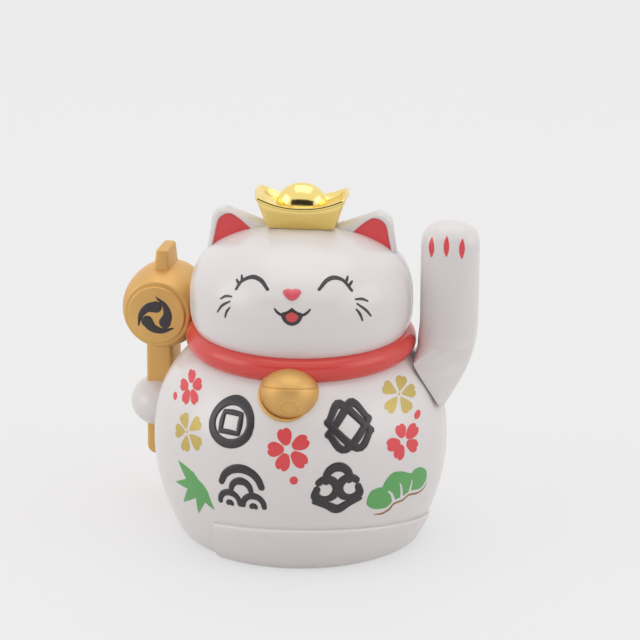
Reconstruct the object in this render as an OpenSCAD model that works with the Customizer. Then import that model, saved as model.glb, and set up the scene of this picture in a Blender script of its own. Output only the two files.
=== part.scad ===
// Solar waving cat: a hollow figurine whose raised paw rocks on a shaft, driven by a
// pendulum magnet over a coil. Millimetres, +Z up. The origin is the centre of the
// base on the table. The cat faces -Y, and its waving paw is on the +X side.

/* [Body] */
// Largest radius of the body
body_r = 34.7; // [33.5:0.1:36.5]
// Height of the largest radius above the table
belly_z = 22.2; // [20.5:0.1:24]
// Rise from the largest radius to where the upper curve would close
body_rise = 30.4; // [29:0.1:32]
// Drop from the largest radius to where the lower curve would close
body_drop = 39.3; // [36:0.1:44]
// Roundness of the upper curve
body_top_power = 2.6; // [2.4:0.05:2.9]
// Roundness of the lower curve
body_foot_power = 1.82; // [1.7:0.02:2]
// Wall of the moulded shells
wall = 1.6; // [1.2:0.1:2]
// Height of the joint between body and head
neck_z = 47.5; // [46.8:0.1:48]
// Radius of the neck opening
neck_bore = 18.5; // [16:0.1:19]

/* [Foot band] */
// How far the band stands proud of the body
band_t = 1.2; // [0.8:0.1:1.6]
// Height of the band's top edge at the centre line of the cat
band_z = 5.4; // [4:0.1:7]
// Slope of the band's top edge, rising towards the front
band_slope = 10.8; // [6:0.2:13]
// Side distance of the band's end on the mallet side
band_end = 17.7; // [14:0.1:20]

/* [Head] */
// How far the head's largest radius lies inside the body's
head_in = 8.5; // [8.2:0.1:9.3]
// Height of the head's largest radius
head_z = 57.1; // [56.5:0.1:58]
// Rise from the head's largest radius to its crown
head_rise = 18; // [17.5:0.1:18.6]
// Drop from the head's largest radius to where the lower curve would close
head_drop = 14.4; // [13.8:0.1:15.5]
// Roundness of the crown
head_top_power = 2.67; // [2.5:0.01:2.9]
// Roundness of the cheeks
head_low_power = 3; // [2.7:0.05:3.2]
// Depth of the flat on the crown that the ingot stands on
crown_flat = 0.35; // [0.25:0.05:0.6]

/* [Ears] */
// Height of the ear's tip ball above the head's largest radius
ear_rise = 18.5; // [17.5:0.1:19.5]
// Radius of the ear's rounded edge
ear_edge = 3.1; // [2.6:0.1:3.5]
// How far the ears lie behind the centre
ear_back = 1.5; // [0.5:0.1:2.5]
// Depth of the coloured hollow in each ear
ear_hollow = 0.6; // [0.3:0.1:1]
// Width of the rim round the ear's hollow
ear_rim = 1.2; // [0.8:0.1:1.5]

/* [Collar] */
// Half the collar's width across its section
collar_a = 2.7; // [2.5:0.05:2.9]
// Half the collar's height
collar_b = 2.95; // [2.6:0.05:3.2]
// How far the section's centre line lies inside the head's largest radius
collar_in = 1.8; // [1.6:0.1:2.2]

/* [Bell] */
// Radius of the bell
bell_r = 6.75; // [6.5:0.05:7.5]
// Height of the bell's upper half
bell_cap = 6.2; // [5:0.1:6.7]
// Height of the bell's centre
bell_z = 42.8; // [42:0.1:44]
// How far the bell's centre lies in front of the collar's centre line
bell_ahead = 2.1; // [1.6:0.1:2.6]
// How far the bell leans back
bell_tilt = 12; // [6:1:18]

/* [Ingot] */
// Half the length of the ingot, tip to tip
ingot_a = 11; // [10:0.1:12]
// Half the depth of the ingot
ingot_b = 5.4; // [4.8:0.1:6]
// Height of the tips above the base
ingot_tip = 8.4; // [7.8:0.1:9]
// Height of the rim at the middle
ingot_waist = 5.7; // [5.2:0.1:6.2]
// Height of the domed middle above the base
ingot_dome = 10.2; // [9.8:0.1:10.8]
// Radius of the peg under the ingot
peg_r = 2; // [1.5:0.1:3]
// Length of the peg
peg_l = 4; // [3:0.1:6]

/* [Shoulder and waving arm] */
// Tilt of the shoulder flat and of the arm's shaft above the horizontal
shoulder_tilt = 33.4; // [31:0.2:36]
// Depth of the shoulder flat below the body's curve
shoulder_depth = 0.9; // [0.8:0.05:1.2]
// Height at which the arm's shaft crosses the shoulder flat
pivot_z = 39.2; // [38.5:0.1:40]
// How far the arm's inner face lies inside the body's largest radius
arm_in_body = 6.8; // [6.1:0.05:6.9]
// Width of the arm
arm_w = 13.7; // [12:0.1:15]
// Depth of the arm, front to back
arm_d = 11.4; // [10:0.1:12]
// Height of the paw's top
arm_top = 77; // [74:0.1:80]
// Gap between the arm's inner face and the shoulder flat
arm_gap = 0.35; // [0.3:0.05:0.8]
// Wall of the hollow arm
arm_wall = 1; // [0.8:0.05:1.3]

/* [Mallet] */
// Largest radius of the mallet's barrel
barrel_r = 10; // [9.5:0.1:10.4]
// Radius of the barrel's ends
barrel_end_r = 7.9; // [7.4:0.1:8.4]
// Half the length of the barrel
barrel_half = 10; // [9:0.1:11]
// Radius of the disc on each end
disc_r = 6.7; // [6:0.1:7.2]
// How far each disc stands proud of the barrel
disc_rise = 0.7; // [0.4:0.05:1]
// How far the barrel's middle lies inside the body's largest radius
barrel_in = 0.8; // [0:0.1:1]
// How far the barrel's middle lies behind the centre
barrel_y = 13.6; // [13.2:0.1:15]
// Height of the barrel's axis
barrel_z = 50; // [49:0.1:51.5]
// Turn of the mallet about the vertical
mallet_turn = 6.5; // [4:0.5:9]
// Width of the handle
handle_w = 6.4; // [5.6:0.1:7]
// Depth of the handle, front to back
handle_d = 9.4; // [8.4:0.1:10]
// Outward offset of the handle from the barrel's axis
handle_out = 1.5; // [1:0.1:1.8]
// Backward offset of the handle from the barrel's middle
handle_back = 3.1; // [2.6:0.1:3.6]
// Height of the handle's lower end
handle_foot = 11.3; // [8:0.1:15]
// Rounding of the handle's long edges
handle_round = 0.7; // [0.5:0.1:1.6]
// Height of the handle's upper end
handle_top = 64.4; // [62:0.1:66]
// Width of the handle's upper end on the barrel's axis
knob_w = 6; // [5:0.1:6.4]
// Width of the handle's upper end at its top
knob_top_w = 2.9; // [2.4:0.1:4]

/* [Holding paw] */
// Height of the paw that grips the handle
paw_z = 24.8; // [22:0.1:28]
// Half the paw's height
paw_h = 6.2; // [5:0.1:7]
// Half the paw's depth
paw_d = 8.4; // [7.8:0.1:9.2]
// How far the paw's middle lies in front of the handle's
paw_front = 1.5; // [1:0.1:2.2]
// Reach of the paw outside the handle
paw_reach = 4.2; // [3:0.1:5]

/* [Base plate] */
// Radius of the base plate
plate_r = 23.8; // [22.5:0.1:24.5]
// Thickness of the base plate
plate_t = 2.4; // [2:0.1:3]
// Distance of the base screws from the centre
screw_ring = 20; // [19:0.1:21]
// Radius of each screw boss
boss_r = 2.6; // [2.2:0.1:3]
// Height of the screw bosses above the base plate
boss_h = 8; // [6:0.1:10]

/* [Drive] */
// Side distance of the pendulum from the centre
drive_x = 16.2; // [15.6:0.1:16.6]
// Radius of the steel shaft
shaft_r = 1; // [0.8:0.05:1.25]
// Length of the shaft inside the arm
shaft_grip = 4.6; // [3.5:0.1:5]
// Running clearance between shaft and posts
shaft_gap = 0.05; // [0.03:0.01:0.08]
// Distance between the posts' inner faces
post_span = 16; // [15.6:0.1:16.4]
// Thickness of each post
post_t = 2; // [1.6:0.1:2.4]
// Width of each post
post_w = 6; // [5:0.1:7]
// Length of each post's bearing
bearing_l = 6; // [5.8:0.1:6.4]
// End play of the pendulum's hub between the bearings
end_play = 0.3; // [0.2:0.05:0.5]
// Radius of the pendulum's magnet
magnet_r = 5; // [4.5:0.1:5.2]
// Thickness of the magnet
magnet_t = 6; // [4.5:0.1:6.5]
// Air gap between magnet holder and coil
air_gap = 1.4; // [1.2:0.1:2]
// Radius of the coil's flanges
coil_r = 6.6; // [6:0.1:6.8]
// Height of the coil between its flanges
coil_h = 3.4; // [2.5:0.1:4]
// Thickness of the coil's flanges
flange_t = 0.8; // [0.6:0.1:1]
// Thickness of the frame's floor
frame_t = 1.6; // [1.4:0.1:2]
// Width of the frame's floor
frame_w = 24; // [23:0.1:24.4]
// Length of the frame's floor, front to back
frame_l = 22; // [21:0.1:22.4]
// Height of the standoffs under the frame and the board
standoff_h = 2.4; // [2:0.1:3]

/* [Circuit board] */
// Side distance of the board's middle from the centre
board_x = 12; // [11.6:0.1:12.4]
// Width of the board
board_w = 13; // [12:0.1:13.4]
// Length of the board, front to back
board_l = 21; // [19:0.1:21.4]
// Thickness of the board
board_t = 1; // [0.8:0.1:1.6]
// Radius of the capacitor
capacitor_r = 2; // [1.5:0.1:2.4]
// Height of the capacitor
capacitor_h = 6; // [4:0.1:8]
// Width of the chip
chip_w = 3; // [2:0.1:4]
// Length of the chip
chip_l = 4; // [3:0.1:5]
// Height of the chip
chip_h = 1.6; // [1:0.1:2]

/* [Solar cell] */
// Width of the solar cell
cell_w = 19; // [16:0.1:20]
// Height of the solar cell
cell_h = 10.4; // [9:0.1:11]
// Thickness of the solar cell
cell_t = 0.8; // [0.6:0.1:1]
// Thickness of the clear cover
cover_t = 0.8; // [0.6:0.1:1]
// Height of the solar window's middle
cell_z = 33; // [32:0.1:34]
// Tilt of the window's normal above the horizontal
cell_tilt = 22; // [18:0.5:25]
// Depth of the window's flat below the body's curve
cell_depth = 3.4; // [3:0.05:3.8]

/* [Hidden] */

$fn = 96;
fit = 0.05;                 // gap between parts that seat on each other
grip = 0.01;                // gap between a part and the shaft it is pressed on
steps = 30;                 // straight facets along a moulded curve
far = 90;                   // reach of a cutting block past every surface

head_r = body_r - head_in;
head_seat = head_z + head_rise - crown_flat;
collar_r = head_r - collar_in;
barrel_x = body_r - barrel_in;
arm_x = body_r - arm_in_body;
plate_gap = 0.15;
frame_z = plate_t + standoff_h;
tongue = 4;                 // reach of the frame's floor under the outer post
coil_z = frame_z + frame_t;
magnet_z = coil_z + coil_h + 2 * flange_t + air_gap;
board_top = plate_t + standoff_h + board_t;
hub_r = shaft_r + 1.5;
post_in = drive_x - post_span / 2 - post_t;
post_out = drive_x + post_span / 2;

// Radius at height z of a bulging form with its own curve above and below its middle.
function bulge(z, r, mid, rise, top_power, drop, low_power) =
    z >= mid
    ? r * sqrt(max(0, 1 - pow((z - mid) / rise, top_power)))
    : r * sqrt(max(0, 1 - pow((mid - z) / drop, low_power)));

function body_at(z, grow = 0) =
    bulge(z, body_r + grow, belly_z, body_rise + grow, body_top_power,
          body_drop + grow, body_foot_power);

function head_at(z, grow = 0) =
    bulge(z, head_r + grow, head_z, head_rise + grow, head_top_power,
          head_drop + grow, head_low_power);

// Distances of the two flats from the origin, measured along their normals.
function lean(r, z, tilt) = r * cos(tilt) + z * sin(tilt);
shoulder_reach = lean(body_at(pivot_z), pivot_z, shoulder_tilt) - shoulder_depth;
cell_reach = lean(body_at(cell_z), cell_z, cell_tilt) - cell_depth;

// Side distance of the shoulder flat at height z, or of a face that lies out from it.
function shoulder_at(z, out = 0) =
    (shoulder_reach + out - z * sin(shoulder_tilt)) / cos(shoulder_tilt);

// The shaft's own frame: x outwards along the shaft, from where it leaves the body.
pivot_x = shoulder_at(pivot_z);
module at_pivot() {
    translate([pivot_x, 0, pivot_z]) rotate([0, -shoulder_tilt, 0]) children();
}

// Place along the shaft, and height, where it passes the side distance x.
function along_at(x) = (x - pivot_x) / cos(shoulder_tilt);
function shaft_z(x) = pivot_z + (x - pivot_x) * tan(shoulder_tilt);

module along_shaft(a0, a1, r) {
    at_pivot() translate([a0, 0, 0]) rotate([0, 90, 0]) cylinder(r = r, h = a1 - a0);
}

bearing_in = along_at(post_in + post_t / 2);
bearing_out = along_at(post_out + post_t / 2);

module body_form(grow, z0, z1) {
    rotate_extrude()
        polygon(concat(
            [[0, z0]],
            [for (i = [0 : steps]) let (z = z0 + (z1 - z0) * i / steps) [body_at(z, grow), z]],
            [[0, z1]]));
}

module head_form(grow, z0) {
    z1 = head_z + head_rise + grow;
    rotate_extrude()
        polygon(concat(
            [[0, z0]],
            [for (i = [0 : steps - 1])
                let (z = z0 + (z1 - z0) * sin(90 * i / steps)) [head_at(z, grow), z]],
            [[0, z1]]));
}

module front_side() {
    translate([-far, -far, -1]) cube([2 * far, far, 2 * far]);
}

module back_side() {
    translate([-far, 0, -1]) cube([2 * far, far, 2 * far]);
}

// Everything beyond the shoulder flat, or beyond a plane that far inside it.
module beyond_shoulder(inside) {
    rotate([0, -shoulder_tilt, 0])
        translate([shoulder_reach - inside, -far, -far]) cube([far, 2 * far, 2 * far]);
}

// The window's own frame: x across, y up the flat, z out of the body.
module on_window() {
    rotate([cell_tilt, 0, 0]) translate([0, cell_reach, 0]) rotate([-90, 180, 0])
        translate([0, window_up, 0]) children();
}
window_up = cell_z * cos(cell_tilt) - body_at(cell_z) * sin(cell_tilt);

module beyond_window(inside) {
    on_window() translate([-far, -far, -inside]) cube([2 * far, 2 * far, far]);
}

module round_box(w, h, t, r) {
    linear_extrude(t)
        union() {
            square([w - 2 * r, h], center = true);
            square([w, h - 2 * r], center = true);
            for (x = [-1, 1], y = [-1, 1])
                translate([x * (w / 2 - r), y * (h / 2 - r)]) circle(r, $fn = 32);
        }
}

// ---- Body ----

module foot_band() {
    top = band_z + (body_r + band_t) * tan(band_slope);
    intersection() {
        rotate([0, 0, 180])
            rotate_extrude(angle = 180)
                polygon(concat(
                    [for (i = [0 : steps]) let (z = top * i / steps)
                        [body_at(z) + band_t, z]],
                    [[body_r - wall, top], [body_at(0) - wall / 2, 0]]));
        translate([0, 0, band_z]) rotate([-band_slope, 0, 0])
            translate([-band_end, -far, -far]) cube([far, 2 * far, far]);
    }
}

module body_cavity() {
    difference() {
        body_form(-wall, wall, neck_z - wall);
        beyond_shoulder(wall);
        beyond_window(wall);
    }
}

module at_bosses() {
    for (a = [45 : 90 : 315]) rotate([0, 0, a]) translate([screw_ring, 0, plate_t]) children();
}

module screw_bosses() {
    rib = 1.2;
    intersection() {
        body_form(-wall / 2, 0, neck_z);
        at_bosses() {
            cylinder(r = boss_r, h = boss_h);
            translate([boss_r / 2, -rib / 2, 0]) cube([body_r - screw_ring, rib, 0.7 * boss_h]);
        }
    }
}

module body_shell() {
    difference() {
        union() {
            difference() {
                union() {
                    difference() {
                        body_form(0, 0, neck_z);
                        beyond_shoulder(0);
                        beyond_window(0);
                    }
                    foot_band();
                }
                body_cavity();
                translate([0, 0, -1]) cylinder(r = plate_r + plate_gap, h = wall + 2);
            }
            screw_bosses();
        }
        at_bosses() translate([0, 0, -1]) cylinder(r = screw_r + grip, h = boss_h);
        translate([0, 0, neck_z - 2 * wall]) cylinder(r = neck_bore, h = 3 * wall);
        along_shaft(-3 * wall, 3 * wall, 2 * shaft_r);
        on_window() translate([0, 0, -2 * wall])
            round_box(cell_w + 2, cell_h + 2, 4 * wall, 1);
    }
}

module body_front() {
    color("white") intersection() { body_shell(); front_side(); }
}

module body_back() {
    color("white") intersection() { body_shell(); back_side(); }
}

// ---- Head ----

// The ear's three corners, at the centres of their rounding: tip, outer foot, inner foot.
ear_lean = 8.5;             // how far the tip lies inside the head's largest radius
ear_spread = 1.9;           // reach of the outer foot past the tip
ear_foot_out = 8;           // drop of the outer foot below the tip
ear_reach = 8.2;            // reach of the inner foot towards the middle
ear_foot_in = 3.4;          // drop of the inner foot below the tip
ear_x = head_r - ear_lean;
ear_tip = head_z + ear_rise;
ear_spots = [
    [ear_x, ear_tip],
    [ear_x + ear_spread, ear_tip - ear_foot_out],
    [ear_x - ear_reach, ear_tip - ear_foot_in]
];

// A thick rounded plate. Its front is hollowed out evenly, short of the rim.
module ear() {
    difference() {
        hull()
            for (p = ear_spots) translate([p[0], ear_back, p[1]]) sphere(ear_edge, $fn = 32);
        translate([0, ear_back - ear_edge + ear_hollow, 0]) rotate([90, 0, 0])
            linear_extrude(2 * ear_edge)
                hull()
                    for (p = ear_spots) translate(p) circle(ear_edge - ear_rim, $fn = 32);
    }
}

module head_shell() {
    difference() {
        union() {
            head_form(0, neck_z);
            ear();
            mirror([1, 0, 0]) ear();
            translate([0, 0, neck_z - 2 * wall]) cylinder(r = neck_bore - fit, h = 3 * wall);
        }
        head_form(-wall, neck_z + wall);
        translate([0, 0, neck_z - 3 * wall]) cylinder(r = neck_bore - wall, h = 5 * wall);
        translate([0, 0, head_seat]) cylinder(r = ear_x / 2, h = far);
        translate([0, 0, head_seat - 3 * wall]) cylinder(r = peg_r + fit, h = far);
    }
}

module head_front() {
    color("white") intersection() { head_shell(); front_side(); }
}

module head_back() {
    color("white") intersection() { head_shell(); back_side(); }
}

// ---- Collar, bell and ingot ----

module collar_ring(grow) {
    rotate_extrude()
        polygon([for (a = [0 : 12 : 348])
            [collar_r + (collar_a + grow) * cos(a), neck_z + (collar_b + grow) * sin(a)]]);
}

module collar() {
    color("crimson") difference() {
        collar_ring(0);
        body_form(fit, 0, neck_z);
        head_form(fit, neck_z);
    }
}

module bell_form() {
    ridge = 0.15;
    translate([0, -collar_r - bell_ahead, bell_z]) rotate([-bell_tilt, 0, 0]) {
        rotate_extrude()
            polygon(concat(
                [[0, -bell_r]],
                [for (a = [-84 : 6 : -6]) [bell_r * cos(a), bell_r * sin(a)]],
                [[bell_r + ridge, -2 * ridge], [bell_r + ridge, 2 * ridge]],
                [for (a = [6 : 6 : 84]) [bell_r * cos(a), bell_cap * sin(a)]],
                [[0, bell_cap]]));
    }
}

module bell() {
    color("goldenrod") difference() {
        bell_form();
        body_form(fit, 0, neck_z);
        collar_ring(fit);
        head_form(fit, neck_z);
    }
}

// A point of the ingot's outline at angle a: half sizes p and q, rim heights at the
// middle and at the tips.
function ingot_point(a, p, q, mid, tip) = [
    p * sign(cos(a)) * pow(abs(cos(a)), 0.9),
    q * sign(sin(a)) * pow(abs(sin(a)), 0.9),
    mid + (tip - mid) * pow(abs(cos(a)), 3)
];

module ingot_boat() {
    n = 48;
    rings = [
        [ingot_a * 0.69, ingot_b * 0.66, 0, 0],
        [ingot_a, ingot_b, ingot_waist, ingot_tip],
        [ingot_a - 1.2, ingot_b - 0.8, ingot_waist, ingot_tip - 0.2],
        [ingot_a * 0.5, ingot_b * 0.5, ingot_waist - 1.2, ingot_waist - 1.2]
    ];
    points = concat(
        [for (r = rings, i = [0 : n - 1]) ingot_point(360 * i / n, r[0], r[1], r[2], r[3])],
        [[0, 0, 0], [0, 0, ingot_waist - 1.2]]);
    low = len(rings) * n;
    polyhedron(points, concat(
        [for (i = [0 : n - 1]) [low, i, (i + 1) % n]],
        [for (k = [0 : len(rings) - 2], i = [0 : n - 1])
            [k * n + i, (k + 1) * n + i, (k + 1) * n + (i + 1) % n]],
        [for (k = [0 : len(rings) - 2], i = [0 : n - 1])
            [k * n + i, (k + 1) * n + (i + 1) % n, k * n + (i + 1) % n]],
        [for (i = [0 : n - 1]) [low + 1, low - n + (i + 1) % n, low - n + i]]));
}

module ingot() {
    color("gold") translate([0, 0, head_seat + fit]) {
        ingot_boat();
        intersection() {
            translate([0, 0, ingot_waist - 1.4])
                scale([0.55 * ingot_a, 0.8 * ingot_b, ingot_dome - ingot_waist + 1.4])
                    sphere(1, $fn = 40);
            translate([-far, -far, 1]) cube([2 * far, 2 * far, far]);
        }
        translate([0, 0, -peg_l]) cylinder(r = peg_r, h = peg_l + 2);
    }
}

// ---- Mallet and the paw that holds it ----

module at_mallet() {
    translate([-barrel_x, barrel_y, 0]) rotate([0, 0, -mallet_turn]) children();
}

module handle_bar(grow) {
    translate([-handle_out, handle_back, handle_foot + foot_round - grow])
        round_box(handle_w + 2 * grow, handle_d + 2 * grow,
                  barrel_z - handle_foot - foot_round + 2 * grow, handle_round + grow);
}
foot_round = 2.4;           // rounding of the handle's lower end

module mallet_barrel() {
    color("goldenrod") difference() {
        at_mallet() translate([0, 0, barrel_z]) rotate([90, 0, 0])
            rotate_extrude()
                polygon(concat(
                    [[0, -barrel_half], [disc_r, -barrel_half],
                     [disc_r, disc_rise - barrel_half]],
                    [for (i = [0 : 16]) let (s = -1 + i / 8)
                        [barrel_r - (barrel_r - barrel_end_r) * pow(abs(s), 2.4),
                         s * (barrel_half - disc_rise)]],
                    [[disc_r, barrel_half - disc_rise], [disc_r, barrel_half],
                     [0, barrel_half]]));
        at_mallet() {
            handle_bar(fit);
            knob(fit);
        }
        collar_ring(fit);
    }
}

// The handle's upper end, a block that narrows upwards.
module knob(grow) {
    hull() {
        translate([0, 0, barrel_z])
            round_box(knob_w + 2 * grow, handle_d + 2 * grow, 1, handle_round);
        translate([0, 0, handle_top - 1])
            round_box(knob_top_w + 2 * grow, handle_d - 0.6 + 2 * grow, 1, handle_round);
    }
}

module mallet_handle() {
    color("goldenrod") difference() {
        at_mallet() {
            union() {
                handle_bar(0);
                knob(0);
                hull() {
                    translate([-handle_out, handle_back, handle_foot + foot_round])
                        round_box(handle_w, handle_d, 0.2, handle_round);
                    translate([-handle_out + foot_round / 3, handle_back, handle_foot])
                        round_box(handle_w - 1.4 * foot_round, handle_d - foot_round, 0.2,
                                  handle_round);
                }
            }
        }
        body_form(0.3, 0, neck_z);
    }
}

module holding_paw() {
    color("white") difference() {
        translate([-barrel_x, barrel_y + handle_back - paw_front, paw_z])
            rotate([0, 0, -mallet_turn]) translate([-handle_out, 0, 0])
                scale([handle_w / 2 + paw_reach, paw_d, paw_h]) sphere(1, $fn = 48);
        body_form(fit, 0, neck_z);
        at_mallet() handle_bar(fit);
    }
}

// ---- Waving arm ----

arm_bend = 54;              // height where the arm starts to narrow downwards
arm_foot = pivot_z - 6.2;   // height where the arm's outer curve meets its inner face
arm_cap = 6;                // height of the paw's rounded top
arm_flare = 2.9;            // how much deeper each side of the arm is at the shoulder
foot_x = shoulder_at(arm_foot, arm_gap);

// A smooth step from 0 to 1, downwards over the given span from the height z1.
function fall(z, z1, span) = let (k = min(1, max(0, (z1 - z) / span))) k * k * (3 - 2 * k);

function arm_in(z, t) =
    t + max(shoulder_at(z, arm_gap),
            arm_x - 0.4 * fall(z, arm_bend - 1, 6)
                - 0.25 * min(2.4, max(0, neck_z - 0.9 - z)));
function arm_out(z, t) =
    foot_x - t + (arm_x + arm_w - foot_x)
        * (1 - pow(max(0, arm_bend - z) / (arm_bend - arm_foot), 2.2));

// Shrink of a section near the paw's rounded top.
function arm_round(z, t) =
    z < arm_top - arm_cap ? 1
    : pow(max(0, 1 - pow((z - arm_top + arm_cap) / (arm_cap - t), 2.4)), 0.4167);

function arm_width(z, t) = max(0.04, arm_out(z, t) - arm_in(z, t));
function arm_deep(z, t) =
    let (up = min(1, max(0, (z - arm_foot) / 2.2)))
    max(0.02, (arm_d / 2 - t + arm_flare * fall(z, arm_bend - 3.5, 10))
                  * pow(1 - (1 - up) * (1 - up), 0.3));

// How far a section's inner side is flattened against the shoulder.
function arm_flat(z) = 0.85 * fall(z, neck_z + 0.5, 4);

// Heights of the sections, closer together towards both ends.
function arm_levels(t) = [for (i = [0 : 28])
    let (s = (1 - cos(180 * i / 28)) / 2)
    arm_foot + 0.05 + 1.6 * t + (arm_top - t - arm_foot - 0.06 - 1.6 * t) * s];

module arm_form(t) {
    n = 32;
    zs = arm_levels(t);
    points = [for (z = zs, i = [0 : n - 1])
        let (
            a = 360 * i / n,
            k = arm_round(z, t),
            across = sign(cos(a)) * pow(abs(cos(a)), 0.85),
            m = arm_flat(z)
        )
        [arm_in(z, t) + arm_width(z, t) * ((1 - m) * (1 + k * across) / 2 + m * max(0, across)),
         k * arm_deep(z, t) * sign(sin(a)) * pow(abs(sin(a)), 0.85),
         z]];
    last = (len(zs) - 1) * n;
    polyhedron(points, concat(
        [[for (i = [0 : n - 1]) i]],
        [for (k = [0 : len(zs) - 2], i = [0 : n - 1])
            [k * n + i, (k + 1) * n + i, (k + 1) * n + (i + 1) % n]],
        [for (k = [0 : len(zs) - 2], i = [0 : n - 1])
            [k * n + i, (k + 1) * n + (i + 1) % n, k * n + (i + 1) % n]],
        [[for (i = [n - 1 : -1 : 0]) last + i]]));
}

module arm_shell() {
    difference() {
        union() {
            difference() {
                arm_form(0);
                arm_form(arm_wall);
            }
            intersection() {
                along_shaft(-1, shaft_grip + 1, hub_r);
                arm_form(0.1);
            }
        }
        along_shaft(-1, shaft_grip, shaft_r + grip);
    }
}

module arm_front() {
    color("white") intersection() { arm_shell(); front_side(); }
}

module arm_back() {
    color("white") intersection() { arm_shell(); back_side(); }
}

// ---- Drive ----

module pivot_shaft() {
    color("silver") along_shaft(bearing_in - bearing_l / 2 - 0.6, shaft_grip - fit, shaft_r);
}

module pendulum() {
    holder_r = magnet_r + 1;
    holder_top = magnet_z + magnet_t + 1.2;
    color("ivory") difference() {
        union() {
            along_shaft(bearing_in + bearing_l / 2 + end_play,
                        bearing_out - bearing_l / 2 - end_play, hub_r);
            translate([drive_x - 2, -1.5, holder_top - 1])
                cube([4, 3, shaft_z(drive_x) - holder_top + 1]);
            translate([drive_x, 0, magnet_z]) cylinder(r = holder_r, h = magnet_t + 1.2);
        }
        along_shaft(bearing_in, bearing_out, shaft_r + grip);
        translate([drive_x, 0, magnet_z - 1]) cylinder(r = magnet_r + fit, h = magnet_t + 1);
    }
}

module pendulum_magnet() {
    color("dimgray") translate([drive_x, 0, magnet_z]) cylinder(r = magnet_r, h = magnet_t);
}

frame_mid = post_out + post_t + 0.6 - tongue - frame_w / 2;
corner_inset = 3;           // distance of each screw from the edges it sits near

module at_corners(x, w, l) {
    for (i = [-1, 1], j = [-1, 1])
        translate([x + i * (w / 2 - corner_inset), j * (l / 2 - corner_inset), 0]) children();
}

module at_frame_corners() {
    at_corners(frame_mid, frame_w, frame_l) children();
}

module at_board_corners() {
    at_corners(-board_x, board_w + 2, board_l + 2) children();
}

module pivot_frame() {
    color("ivory") difference() {
        union() {
            translate([frame_mid, 0, frame_z]) round_box(frame_w, frame_l, frame_t, 2);
            translate([frame_mid + tongue, 0, frame_z])
                round_box(frame_w, post_w + 3, frame_t, 2);
            for (x = [post_in, post_out])
                translate([x, -post_w / 2, frame_z])
                    cube([post_t, post_w, shaft_z(x + post_t / 2) - frame_z]);
            for (a = [bearing_in, bearing_out])
                along_shaft(a - bearing_l / 2, a + bearing_l / 2, post_w / 2);
        }
        along_shaft(bearing_in - bearing_l, bearing_out + bearing_l, shaft_r + shaft_gap);
        at_frame_corners() translate([0, 0, frame_z - 1])
            cylinder(r = screw_r + fit, h = frame_t + 2);
    }
}

screw_r = 0.8;              // radius of every screw's shank
screw_head_r = 1.6;         // radius of every screw's head
head_h = 1;                 // height of every screw's head

module screw(length) {
    cylinder(r = screw_r, h = length);
    translate([0, 0, length]) cylinder(r = screw_head_r, h = head_h);
}

module plate_screws(t) {
    bottom = 0.3;
    translate([0, 0, plate_t + bottom]) screw(standoff_h + t - bottom);
}

module frame_screws() {
    color("silver") at_frame_corners() plate_screws(frame_t);
}

core_r = 2.4;               // radius of the bobbin's core

module coil_bobbin() {
    color("black") translate([drive_x, 0, coil_z]) rotate_extrude()
        polygon([
            [core_r / 2, 0], [coil_r, 0], [coil_r, flange_t], [core_r, flange_t],
            [core_r, flange_t + coil_h], [coil_r, flange_t + coil_h],
            [coil_r, 2 * flange_t + coil_h], [core_r / 2, 2 * flange_t + coil_h]
        ]);
}

module coil_winding() {
    color("peru") translate([drive_x, 0, coil_z + flange_t + fit]) rotate_extrude()
        translate([core_r + fit, 0]) square([coil_r - core_r - 0.6, coil_h - 2 * fit]);
}

module circuit_board() {
    color("darkgreen") difference() {
        translate([-board_x, 0, board_top - board_t])
            round_box(board_w, board_l, board_t, 1);
        at_board_corners() cylinder(r = screw_r + fit, h = far);
    }
}

module board_screws() {
    color("silver") at_board_corners() plate_screws(board_t);
}

module capacitor() {
    color("navy") translate([-board_x - 2, -board_l / 5, board_top])
        cylinder(r = capacitor_r, h = capacitor_h);
}

module drive_chip() {
    color("black") translate([-board_x - 3, 1, board_top]) cube([chip_w, chip_l, chip_h]);
}

// ---- Solar window ----

module solar_frame() {
    color("black") on_window() difference() {
        union() {
            translate([0, 0, fit]) round_box(cell_w + 4, cell_h + 4, 1, 2);
            translate([0, 0, -cell_t - cover_t - 0.2])
                round_box(cell_w + 2 - 4 * fit, cell_h + 2 - 4 * fit, cell_t + cover_t + 1, 0.9);
        }
        translate([0, 0, -5])
            linear_extrude(5) square([cell_w + 2 * fit, cell_h + 2 * fit], center = true);
        translate([0, 0, -2]) round_box(cell_w - 1.6, cell_h - 1.6, 6, 0.8);
    }
}

module solar_cover() {
    color("lightblue") on_window() translate([0, 0, -cover_t])
        linear_extrude(cover_t - fit) square([cell_w, cell_h], center = true);
}

module solar_cell() {
    color("midnightblue") on_window() translate([0, 0, -cover_t - cell_t])
        linear_extrude(cell_t - fit) square([cell_w, cell_h], center = true);
}

// Two leads from the back of the cell down to the circuit board.
lead_r = 0.5;               // radius of each lead
lead_pitch = 1.6;           // distance between the two leads
lead_drop = 2;              // height of the leads' upper ends below the cell's middle
lead_x = board_w / 2 - board_x - 3 * lead_r; // side place of the first lead

module lead(route) {
    n = 8;
    points = [for (k = [0 : len(route) - 1], i = [0 : n - 1])
        let (
            d = route[min(k + 1, len(route) - 1)] - route[max(k - 1, 0)],
            u = cross(d, [1, 0, 0]) / norm(cross(d, [1, 0, 0]))
        )
        route[k] + lead_r * (cos(360 * i / n) * [1, 0, 0] + sin(360 * i / n) * u)];
    last = (len(route) - 1) * n;
    polyhedron(points, concat(
        [[for (i = [n - 1 : -1 : 0]) i]],
        [for (k = [0 : len(route) - 2], i = [0 : n - 1])
            [k * n + i, k * n + (i + 1) % n, (k + 1) * n + (i + 1) % n]],
        [for (k = [0 : len(route) - 2], i = [0 : n - 1])
            [k * n + i, (k + 1) * n + (i + 1) % n, (k + 1) * n + i]],
        [[for (i = [0 : n - 1]) last + i]]));
}

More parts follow.
